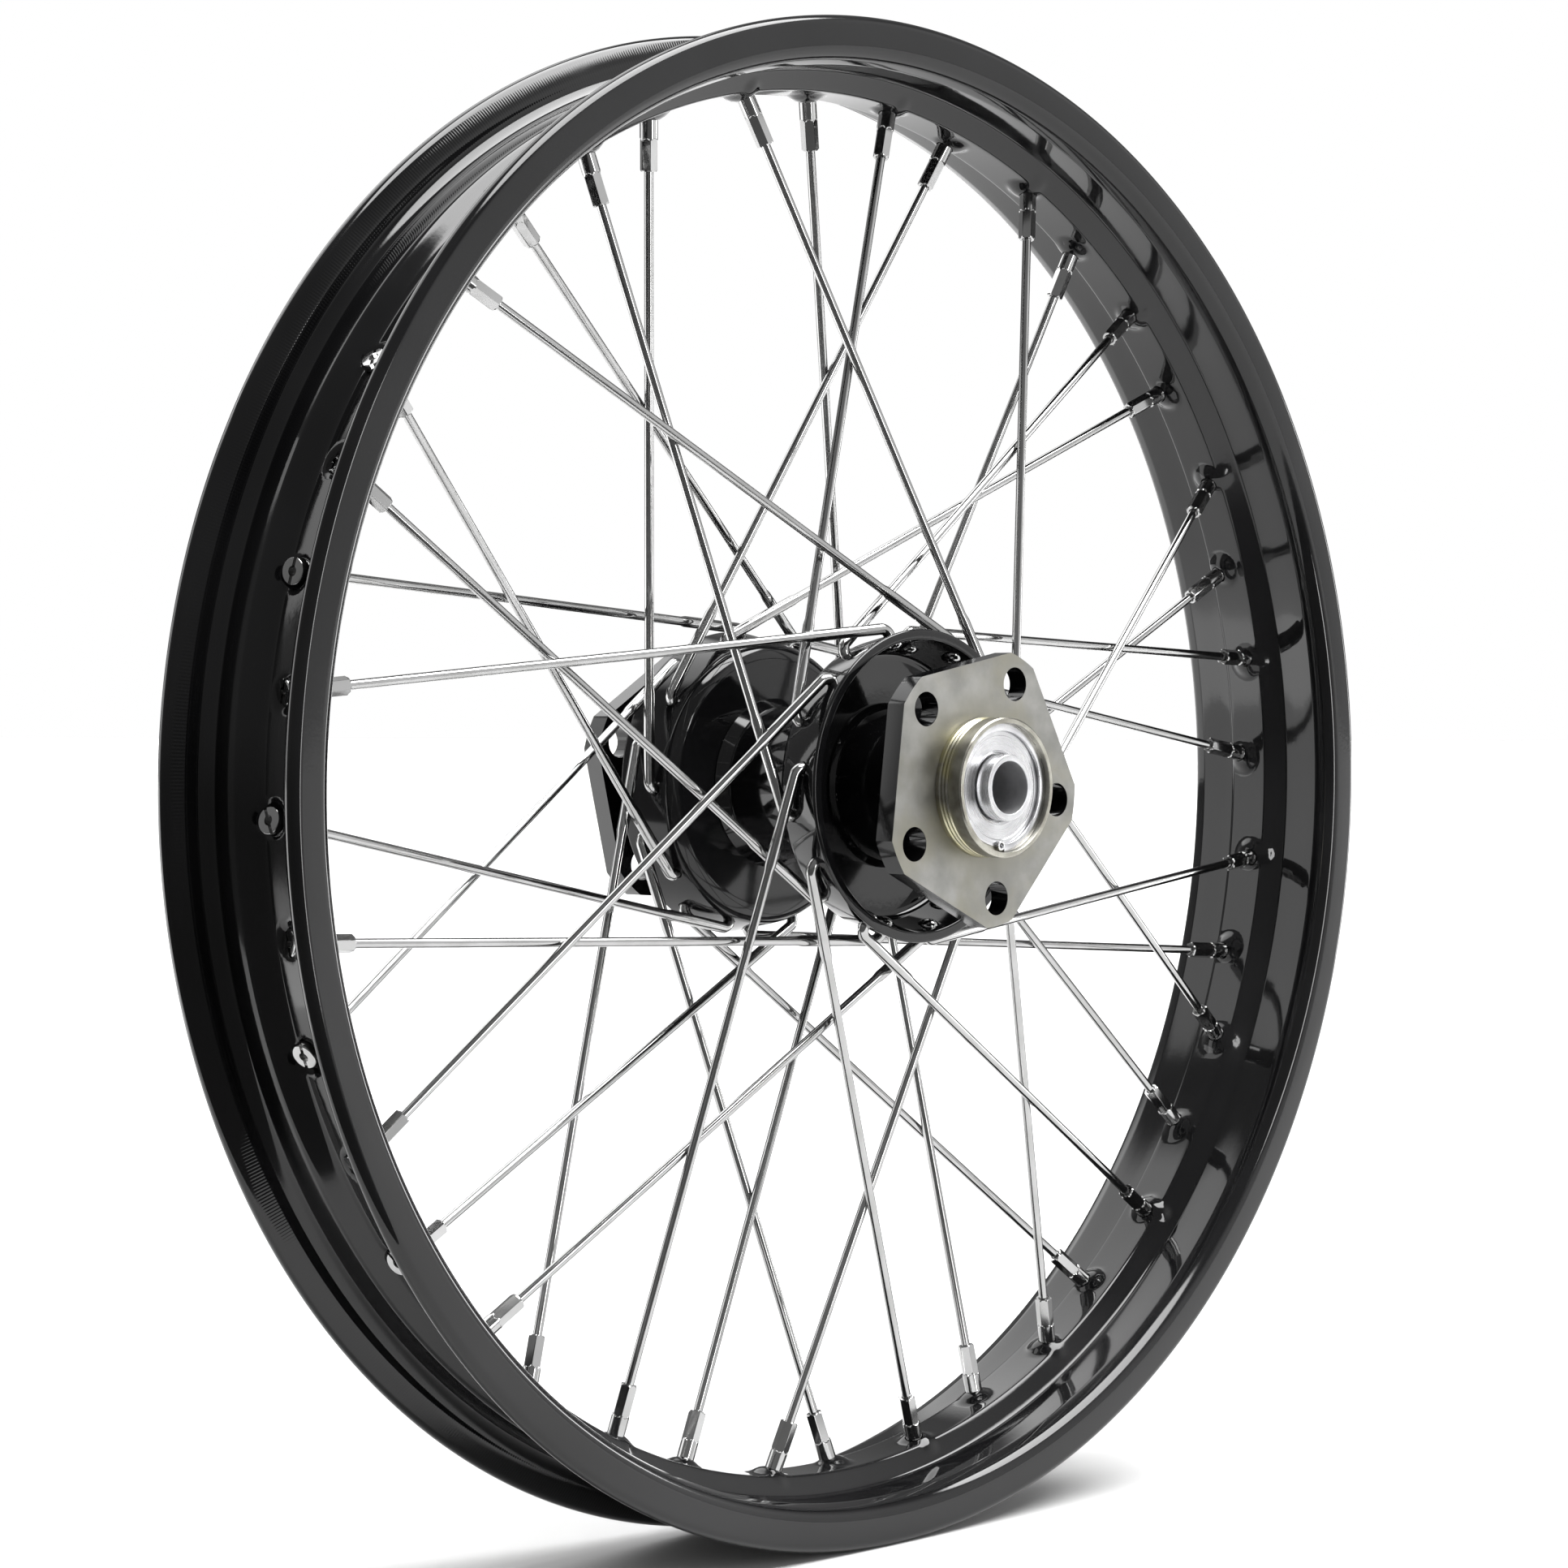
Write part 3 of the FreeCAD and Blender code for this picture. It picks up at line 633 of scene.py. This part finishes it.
def bronze_material():
    nodes = Nodes(bpy.data.materials.new("cage_bronze"))
    nodes.set(Base_Color=wandering(nodes, BRONZE, 150.0), Metallic=1.0)
    nodes.set(Roughness=nodes.ramp(nodes.rings(900.0), 0.3, 0.7, 0.25, 0.4))
    return nodes.material


def cork_material():
    nodes = Nodes(bpy.data.materials.new("cork"))
    grain = nodes.new("ShaderNodeTexVoronoi")
    grain.inputs["Scale"].default_value = 900.0
    nodes.join(nodes.place, grain.inputs["Vector"])
    shade = nodes.ramp(grain.outputs["Distance"], 0.1, 0.7)
    nodes.set(Base_Color=nodes.mix(shade, *CORK), Roughness=0.85)
    nodes.bump(grain.outputs["Distance"], 0.5, 0.0002)
    return nodes.material


def floor_material():
    nodes = Nodes(bpy.data.materials.new("studio_floor"))
    shade = nodes.ramp(nodes.noise(1.5, 2.0), 0.3, 0.7)
    nodes.set(Base_Color=nodes.mix(shade, *FLOOR_WHITE), Roughness=0.9, Specular_IOR_Level=0.1)
    return nodes.material


# --- rim -----------------------------------------------------------------------------------------

def rim_outline():
    """Closed section of the rim. Each half runs out along the tyre side and back along the hub side."""
    half = [
        (WELL_RADIUS + SHEET, WELL_HALF_WIDTH - 1.1, 4.2),
        (BEAD_SEAT_RADIUS - 0.5, SHOULDER_HALF_WIDTH - 1.4, 3.0),
        (BEAD_SEAT_RADIUS, BEAD_HALF_WIDTH + 0.4, 6.0),
        (LEAN_RADIUS, LEAN_HALF_WIDTH, 8.0),
        (RIM_RADIUS, CREST_HALF_WIDTH, 3.0),
        (RIM_RADIUS, RIM_HALF_WIDTH, 3.5),
        (FLANGE_CORNER_RADIUS, RIM_HALF_WIDTH, FLANGE_CORNER_ROUND),
        (FLANGE_FOOT_RADIUS, FLANGE_FOOT_HALF_WIDTH, 4.0),
        (SHOULDER_RADIUS, SHOULDER_HALF_WIDTH, 2.0),
        (WELL_RADIUS, WELL_HALF_WIDTH, 1.8),
    ]
    return with_points(rounded(mirrored(half)), rim_step)


def rim_step(middle):
    """Longest run in the rim's outline: fine across the well, where the dimples are."""
    in_well = abs(middle.y) < DIMPLE_ZONE_HALF_WIDTH and middle.x < BEAD_SEAT_RADIUS - 1.5
    return 1.35 if in_well else 5.0


def blended_lower(first, second, reach):
    """The lower of two radii, with a smooth corner where they meet."""
    overlap = max(reach - abs(first - second), 0.0)
    return min(first, second) - overlap * overlap / (4 * reach)


def dimpled(radius, y, angle):
    """Radius of the rim's surface at a place, pushed towards the hub by the nearest dimple."""
    if abs(y) > DIMPLE_ZONE_HALF_WIDTH or radius > BEAD_SEAT_RADIUS - 1:
        return radius
    order = round((FIRST_SPOKE_ANGLE - angle) / SPOKE_PITCH)
    group = next(g for g in SPOKE_GROUPS.values() if g["order"] == order % len(SPOKE_GROUPS))
    off = math.radians(angle - FIRST_SPOKE_ANGLE + order * SPOKE_PITCH)
    across = (DIMPLE_CENTRE_RADIUS * math.sin(off)) ** 2 + (y - group["side"] * group["well"]) ** 2
    tyre_side = on_tyre_side(radius, y)
    ball = DIMPLE_INNER_BALL if tyre_side else DIMPLE_OUTER_BALL
    foot = DIMPLE_INNER_FOOT if tyre_side else DIMPLE_OUTER_FOOT
    if across > ball * ball:
        return radius
    pressed = DIMPLE_CENTRE_RADIUS * math.cos(off) - math.sqrt(ball * ball - across)
    return blended_lower(radius, pressed, foot)


def on_tyre_side(radius, y):
    """Is a point of the outline on the rim's tyre side, rather than the hub side?"""
    wall_slope = (SHOULDER_RADIUS - WELL_RADIUS) / (SHOULDER_HALF_WIDTH - WELL_HALF_WIDTH)
    up_the_wall = max(abs(y) - WELL_HALF_WIDTH + SHEET / 4, 0.0)
    return radius > WELL_RADIUS + SHEET / 2 + wall_slope * up_the_wall


def make_rim(material):
    cutters = []
    for group in SPOKE_GROUPS.values():
        start = rim_point(group)
        for turn in GROUP_TURNS:
            bar = rod(start, start + spoke_direction(group) * 14, NIPPLE_HOLE_RADIUS)
            cutters.append(turned_by(bar, turn))
    valve = rod(polar(WELL_RADIUS - 5, VALVE_HOLE_ANGLE), polar(BEAD_SEAT_RADIUS, VALVE_HOLE_ANGLE),
                VALVE_HOLE_RADIUS)
    mesh = cut(lathe(rim_outline(), RIM_COLUMNS, dimpled), cutters + [valve])
    return piece("rim_looks", mesh, material, ["rim"])


# --- hub -----------------------------------------------------------------------------------------

def thread_points():
    """Outline of the collar's thread, as rounded grooves."""
    points = []
    for turn in range(THREAD_TURNS):
        start = THREAD_START + turn * THREAD_PITCH
        points += [(COLLAR_RADIUS, start), (COLLAR_RADIUS, start + 0.3 * THREAD_PITCH, 0.1),
                   (COLLAR_RADIUS - THREAD_DEPTH, start + 0.65 * THREAD_PITCH, 0.1)]
    return points + [(COLLAR_RADIUS, THREAD_START + THREAD_TURNS * THREAD_PITCH)]


def make_hub(material):
    half = [
        (NECK_RADIUS, WEB_COLLAR_FOOT, 2.5),
        (WEB_COLLAR_RADIUS, WEB_INNER_FACE - 0.05, 0.3),
        (FLANGE_SEAT_RADIUS, WEB_INNER_FACE),
        (FLANGE_SEAT_RADIUS, WEB_OUTER_FACE + 1.2, 0.4),
        (NECK_RADIUS, WEB_OUTER_FACE + 3.2, 1.6),
        (NECK_RADIUS, STAR_INNER_FACE),
        (COLLAR_RADIUS, STAR_INNER_FACE),
        *thread_points(),
        (COLLAR_RADIUS, COLLAR_END - 0.6, 0.3),
        (COLLAR_RADIUS - 0.6, COLLAR_END, 0.3),
        (MOUTH_RADIUS, COLLAR_END, 0.3),
        (MOUTH_RADIUS, LOCK_RING_END),
        (LOCK_GROOVE_RADIUS, LOCK_RING_END),
        (LOCK_GROOVE_RADIUS, OUTER_WASHER_END),
        (HOUSING_RADIUS, OUTER_WASHER_END),
        (HOUSING_RADIUS, HOUSING_SHOULDER),
        (CHAMBER_LIP_RADIUS, HOUSING_SHOULDER),
        (CHAMBER_LIP_RADIUS, CHAMBER_LIP_END),
        (CHAMBER_RADIUS, CHAMBER_END),
    ]
    mesh = lathe(rounded(mirrored(half)), 360)
    return piece("hub_barrel_looks", mesh, material, ["hub_barrel"])


def make_spoke_flange(side_name, side, material):
    lip_bore = BAND_LIP_RADIUS - BAND_LIP_WIDTH
    bowl = lathe(rounded(flipped([
        (FLANGE_SEAT_RADIUS + SEAT_GAP, WEB_INNER_FACE),
        (BAND_FOOT_RADIUS, WEB_INNER_FACE, BAND_FOOT_ROUND),
        (BAND_LIP_RADIUS, BAND_LIP_FACE, 0.9),
        (lip_bore, BAND_LIP_FACE, 0.8),
        (BAND_BORE_FOOT_RADIUS, WEB_OUTER_FACE, 3.0),
        (FLANGE_SEAT_RADIUS + SEAT_GAP, WEB_OUTER_FACE),
    ], side)), 720)
    for radius, back, front in ((SPOKE_HEAD_RADIUS + 0.3, -4, 0.0), (SPOKE_HOLE_RADIUS, -3, 10)):
        cutters = []
        for group in SPOKE_GROUPS.values():
            if group["side"] != side:
                continue
            seat, shank = seat_point(group), shank_direction(group)
            cutters += [turned_by(rod(seat + shank * back, seat + shank * front, radius), turn)
                        for turn in GROUP_TURNS]
        bowl = cut(bowl, cutters)
    return piece("spoke_flange_looks_" + side_name, bowl, material,
                 ["spoke_flange_" + side_name])


def star_block(angle, side):
    """Cutter for one flat of the star flange."""
    reach = STAR_CORNER_RADIUS
    width = sorted((side * (STAR_INNER_FACE - 2), side * (STAR_OUTER_FACE + 2)))
    cutter = block((STAR_FLAT_RADIUS, STAR_FLAT_RADIUS + reach), width, (-reach, reach))
    return turned_by(cutter, angle)


def make_star_flange(side_name, side, material):
    first_angle, hole_radius = STAR_FLANGES[side_name]
    plate = lathe(rounded(flipped([
        (COLLAR_RADIUS + SEAT_GAP, STAR_INNER_FACE), (STAR_CORNER_RADIUS, STAR_INNER_FACE),
        (STAR_CORNER_RADIUS, STAR_OUTER_FACE), (COLLAR_RADIUS + SEAT_GAP, STAR_OUTER_FACE),
    ], side)), 360)
    angles = [first_angle + 360.0 / STAR_POINTS * k for k in range(STAR_POINTS)]
    for angle in angles:
        plate = cut(plate, [star_block(angle + 180.0 / STAR_POINTS, side)])
    holes = [rod(polar(STAR_BOLT_CIRCLE / 2, angle, side * (STAR_INNER_FACE - 2)),
                 polar(STAR_BOLT_CIRCLE / 2, angle, side * (STAR_OUTER_FACE + 2)), hole_radius, 64)
             for angle in angles]
    mesh = bevelled(cut(plate, holes), STAR_BEVEL)
    return piece("star_flange_looks_" + side_name, mesh, material,
                 ["star_flange_" + side_name], sharp=20.0)


def make_sleeve(material):
    half = [
        (SLEEVE_END_RADIUS, SLEEVE_CONE_START),
        (SLEEVE_TRACK_RADIUS, SLEEVE_CONE_END),
        (SLEEVE_TRACK_RADIUS, SLEEVE_TRACK_END),
        (SLEEVE_END_RADIUS, SLEEVE_TRACK_END),
        (SLEEVE_END_RADIUS, SLEEVE_END, 0.5),
        (AXLE_BORE_RADIUS, SLEEVE_END, 0.35),
    ]
    mesh = lathe(rounded(mirrored(half)), 180)
    return piece("inner_sleeve_looks", mesh, material, ["inner_sleeve"], body="axle_core")


def make_outer_washer(side_name, side, material):
    dish = OUTER_WASHER_END - WASHER_DISH_DEPTH
    mesh = lathe(rounded(flipped([
        (WASHER_BORE_RADIUS, SEAL_END, 0.3), (HOUSING_RADIUS - SEAT_GAP, SEAL_END),
        (HOUSING_RADIUS - SEAT_GAP, OUTER_WASHER_END, 0.4),
        (WASHER_DISH_RADIUS + 0.3, OUTER_WASHER_END, 0.3),
        (WASHER_DISH_RADIUS, dish, 0.2), (WASHER_BORE_RADIUS + 1.2, dish, 0.2),
        (WASHER_BORE_RADIUS, OUTER_WASHER_END - 0.9, 0.3),
    ], side)), 180)
    return piece("outer_washer_looks_" + side_name, mesh, material,
                 ["outer_washer_" + side_name])


def make_lock_ring(side_name, side, material):
    """Open spring ring of rounded flat wire, with an eye at one end for the pliers."""
    middle = (LOCK_GROOVE_RADIUS + LOCK_RING_BORE_RADIUS) / 2
    half_width = (LOCK_GROOVE_RADIUS - LOCK_RING_BORE_RADIUS) / 2 - 0.01
    half_height = (LOCK_RING_END - OUTER_WASHER_END) / 2
    level = side * (OUTER_WASHER_END + half_height)
    section = [(half_width * math.copysign(abs(math.cos(t)) ** 0.5, math.cos(t)),
                half_height * math.copysign(abs(math.sin(t)) ** 0.5, math.sin(t)))
               for t in (2 * math.pi * (k + 0.5) / 20 for k in range(20))]
    start, end = LOCK_RING_EYE_ANGLE + 3.5, LOCK_RING_GAP_START + 360.0
    steps = 150
    vertices = [polar(middle + across, start + (end - start) * k / steps, level + height) * MM
                for k in range(steps + 1) for across, height in section]
    count = len(section)
    faces = [tuple(range(count)), tuple(range(len(vertices) - count, len(vertices)))]
    for k in range(steps):
        here, there = k * count, (k + 1) * count
        faces += [(here + i, here + (i + 1) % count, there + (i + 1) % count, there + i)
                  for i in range(count)]
    wire = mesh_of(vertices, faces)
    eye = lathe(rounded([
        (LOCK_RING_EYE_HOLE_RADIUS, -half_height, 0.2), (LOCK_RING_EYE_RADIUS, -half_height, 0.4),
        (LOCK_RING_EYE_RADIUS, half_height, 0.4), (LOCK_RING_EYE_HOLE_RADIUS, half_height, 0.2),
    ]), 48)
    eye_middle = polar(LOCK_RING_BORE_RADIUS + LOCK_RING_EYE_OFFSET, LOCK_RING_EYE_ANGLE, level)
    eye.transform(Matrix.Translation(eye_middle * MM))
    joined = bmesh.new()
    joined.from_mesh(wire)
    joined.from_mesh(eye)
    joined.to_mesh(wire)
    joined.free()
    return piece("lock_ring_looks_" + side_name, wire, material,
                 ["lock_ring_" + side_name])


# --- spokes and nipples --------------------------------------------------------------------------

def spoke_mesh(group):
    """Domed head, shank square to the flange, elbow, thick end, taper, and the thin length to the rim."""
    outward = shank_direction(group)
    corner = elbow_point(group)
    towards_rim = -spoke_direction(group)
    turn = outward.angle(towards_rim)
    reach = ELBOW_BEND_RADIUS * math.tan(turn / 2)
    seat = seat_point(group)
    bend_start = corner - outward * reach
    bend_axis = outward.cross(towards_rim).normalized()
    bend_centre = bend_start + bend_axis.cross(outward) * ELBOW_BEND_RADIUS
    stations = []
    for k in range(9):
        rise = math.pi / 2 * k / 8
        stations.append((seat - outward * SPOKE_HEAD_HEIGHT * math.cos(rise), outward,
                         max(SPOKE_HEAD_RADIUS * math.sin(rise), 0.15)))
    stations += [(seat + outward * 0.05, outward, SPOKE_HEAD_RADIUS),
                 (seat + outward * 0.1, outward, BUTT_RADIUS + 0.2),
                 (seat + outward * 0.4, outward, BUTT_RADIUS)]
    for k in range(15):
        bend = Matrix.Rotation(turn * k / 14, 3, bend_axis)
        stations.append((bend_centre + bend @ (bend_start - bend_centre), bend @ outward, BUTT_RADIUS))
    bend_end = corner + towards_rim * reach
    taper_start = bend_end + towards_rim * BUTT_LENGTH
    taper_end = taper_start + towards_rim * BUTT_TAPER
    tip = rim_point(group) - towards_rim * SPOKE_TIP
    stations += [(taper_start, towards_rim, BUTT_RADIUS), (taper_end, towards_rim, SPOKE_RADIUS)]
    stations += [(taper_end.lerp(tip, k / 6), towards_rim, SPOKE_RADIUS) for k in range(1, 7)]
    return swept(stations)


def nipple_radius(plain, level, angle):
    """Radius of the nipple's outside: six flats near the hub end, each with a round run-out."""
    in_bore = plain < (NIPPLE_BORE_RADIUS + NIPPLE_RADIUS) / 2
    if in_bore or level < NIPPLE_LENGTH - NIPPLE_FLATS_LENGTH - NIPPLE_RADIUS / 2:
        return plain
    off = (angle + 30.0) % 60.0 - 30.0
    across = NIPPLE_FLAT_RADIUS * math.tan(math.radians(off))
    run_out = math.sqrt(max((NIPPLE_RADIUS / 2) ** 2 - across * across, 0.0))
    if level < NIPPLE_LENGTH - NIPPLE_FLATS_LENGTH - run_out:
        return plain
    return min(plain, NIPPLE_FLAT_RADIUS / math.cos(math.radians(off)))


def nipple_mesh():
    """Nipple along +Y, from the dimple ball's centre towards the hub, with a slotted head."""
    ball = DIMPLE_INNER_BALL - 0.02
    seat = [(ball * math.sin(t), ball * math.cos(t)) for t in
            (math.radians(42.1 - 2.0 * k) for k in range(8)) if ball * math.sin(t) > NIPPLE_RADIUS]
    corner_points = [
        (NIPPLE_BORE_RADIUS, NIPPLE_HEAD_TOP),
        (NIPPLE_HEAD_RADIUS, NIPPLE_HEAD_TOP, 0.5),
        *seat,
        (NIPPLE_RADIUS, math.sqrt(ball ** 2 - NIPPLE_RADIUS ** 2)),
        (NIPPLE_RADIUS, NIPPLE_LENGTH - 0.45),
        (NIPPLE_RADIUS - 0.5, NIPPLE_LENGTH),
        (NIPPLE_BORE_RADIUS + 0.25, NIPPLE_LENGTH),
        (NIPPLE_BORE_RADIUS, NIPPLE_LENGTH - 0.4),
    ]
    mesh = lathe(with_points(rounded(corner_points), nipple_step), 96, nipple_radius)
    slot_reach = NIPPLE_HEAD_RADIUS + 1
    slot = block((-slot_reach, slot_reach), (NIPPLE_HEAD_TOP - 1, NIPPLE_HEAD_TOP + NIPPLE_SLOT_DEPTH),
                 (-NIPPLE_SLOT_WIDTH / 2, NIPPLE_SLOT_WIDTH / 2))
    return cut(mesh, [slot])


def nipple_step(middle):
    """Longest run in the nipple's outline: fine where the flats run out."""
    flats = NIPPLE_LENGTH - NIPPLE_FLATS_LENGTH
    return 0.22 if middle.x > 3 and flats - 2.2 < middle.y < flats + 0.4 else 4.0


def make_spokes(material):
    nipple = nipple_mesh()
    for name, group in SPOKE_GROUPS.items():
        spoke = spoke_mesh(group)
        placed = nipple.copy()
        placed.transform(Matrix.Translation(rim_point(group) * MM)
                         @ AXLE.rotation_difference(spoke_direction(group)).to_matrix().to_4x4())
        for index, turn in enumerate(GROUP_TURNS):
            number = "%s_%02d" % (name, index + 1)
            piece("spoke_" + number, spoke, material, ["spokes_" + name], turn=turn)
            piece("nipple_" + number, placed, material, ["nipples_" + name], turn=turn,
                  sharp=20.0)


# --- studio --------------------------------------------------------------------------------------

def make_camera():
    azimuth, elevation = math.radians(CAMERA_AZIMUTH), math.radians(CAMERA_ELEVATION)
    level = math.cos(elevation)
    towards = Vector((math.sin(azimuth) * level, -math.cos(azimuth) * level, math.sin(elevation)))
    camera = bpy.data.objects.new("camera", bpy.data.cameras.new("camera"))
    camera.location = towards * CAMERA_DISTANCE
    camera.rotation_euler = (-camera.location).to_track_quat("-Z", "Y").to_euler()
    camera.data.sensor_width = CAMERA_SENSOR
    camera.data.lens = CAMERA_LENS
    camera.data.shift_x = CAMERA_SHIFT
    camera.data.clip_start = 0.01
    bpy.context.scene.collection.objects.link(camera)
    bpy.context.scene.camera = camera


def make_floor(material):
    level = Vector((0, 0, cad_box[0].z))
    front = aim(FLOOR_FACING, 0.0)
    sideways = front.cross(UP)
    corners = ((FLOOR_FRONT, -FLOOR_SIZE), (FLOOR_FRONT, FLOOR_SIZE),
               (-FLOOR_SIZE, FLOOR_SIZE), (-FLOOR_SIZE, -FLOOR_SIZE))
    vertices = [level + front * ahead + sideways * beside for ahead, beside in corners]
    mesh = bpy.data.meshes.new("floor")
    mesh.from_pydata([tuple(v) for v in vertices], [], [(0, 1, 2, 3)])
    mesh.materials.append(material)
    floor = bpy.data.objects.new("floor", mesh)
    bpy.context.scene.collection.objects.link(floor)


def softbox(name, place, target, width, height, power):
    """Area light that faces a point."""
    light = bpy.data.lights.new(name, "AREA")
    light.shape = "RECTANGLE"
    light.size, light.size_y = width, height
    light.energy = power
    made = bpy.data.objects.new(name, light)
    made.location = place
    made.rotation_euler = (Vector(target) - Vector(place)).to_track_quat("-Z", "Y").to_euler()
    made.visible_camera = False
    bpy.context.scene.collection.objects.link(made)


def make_world():
    """White backdrop for the camera, and a dim room with soft white panels for everything else."""
    world = bpy.data.worlds.new("studio")
    nodes = Nodes(world, "Generated")
    room = nodes.tree.nodes["Background"]
    light = ROOM_LIGHT
    for azimuth, elevation, inner, outer, strength in PANELS:
        near = nodes.new("ShaderNodeVectorMath")
        near.operation = "DOT_PRODUCT"
        nodes.join(nodes.place, near.inputs[0])
        near.inputs[1].default_value = aim(azimuth, elevation)
        edges = math.cos(math.radians(outer)), math.cos(math.radians(inner))
        panel = nodes.ramp(near.outputs["Value"], *edges, 0.0, strength)
        light = nodes.math("ADD", panel, light)
    nodes.join(light, room.inputs["Strength"])
    room.inputs["Color"].default_value = LIGHT_WHITE
    backdrop = nodes.new("ShaderNodeBackground")
    backdrop.inputs["Color"].default_value = LIGHT_WHITE
    mix = nodes.new("ShaderNodeMixShader")
    nodes.join(nodes.new("ShaderNodeLightPath").outputs["Is Camera Ray"], mix.inputs["Fac"])
    nodes.join(room.outputs[0], mix.inputs[1])
    nodes.join(backdrop.outputs[0], mix.inputs[2])
    nodes.join(mix.outputs[0], nodes.tree.nodes["World Output"].inputs["Surface"])
    bpy.context.scene.world = world


def aim(azimuth, elevation):
    """Direction at an azimuth (0 is behind the wheel, 90 is +X) and an elevation."""
    turn, rise = math.radians(azimuth), math.radians(elevation)
    return Vector((math.sin(turn) * math.cos(rise), math.cos(turn) * math.cos(rise), math.sin(rise)))


def make_studio():
    make_world()
    make_floor(floor_material())
    for name, settings in SOFTBOXES.items():
        softbox(name, *settings)
    bpy.context.scene.view_settings.view_transform = "Standard"
    make_camera()


# --- the whole wheel -----------------------------------------------------------------------------

def keep_cad_nodes(steel, bronze, cork):
    """Inner bearing parts keep their CAD shape and only get a finish."""
    finishes = {
        "bearing_race_": steel, "rollers_": steel, "thrust_washer_": steel, "thrust_collar_": steel,
        "roller_cage_": bronze, "cork_seal_": cork,
    }
    for prefix, material in finishes.items():
        for side_name in SIDES:
            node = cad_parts[prefix + side_name]
            node.data.materials.clear()
            node.data.materials.append(material)


def main():
    black = gloss_black_material()
    star = star_material()
    ground_steel = turned_steel_material("bearing_steel", GROUND_STEEL, 0.25, 0.31)
    spring_steel = turned_steel_material("spring_steel", SPRING_STEEL, 0.16, 0.28)
    make_rim(black)
    make_hub(hub_material())
    make_sleeve(ground_steel)
    make_spokes(chrome_material())
    for side_name, side in SIDES.items():
        make_spoke_flange(side_name, side, black)
        make_star_flange(side_name, side, star)
        make_outer_washer(side_name, side, ground_steel)
        make_lock_ring(side_name, side, spring_steel)
    keep_cad_nodes(ground_steel, bronze_material(), cork_material())
    make_studio()


main()
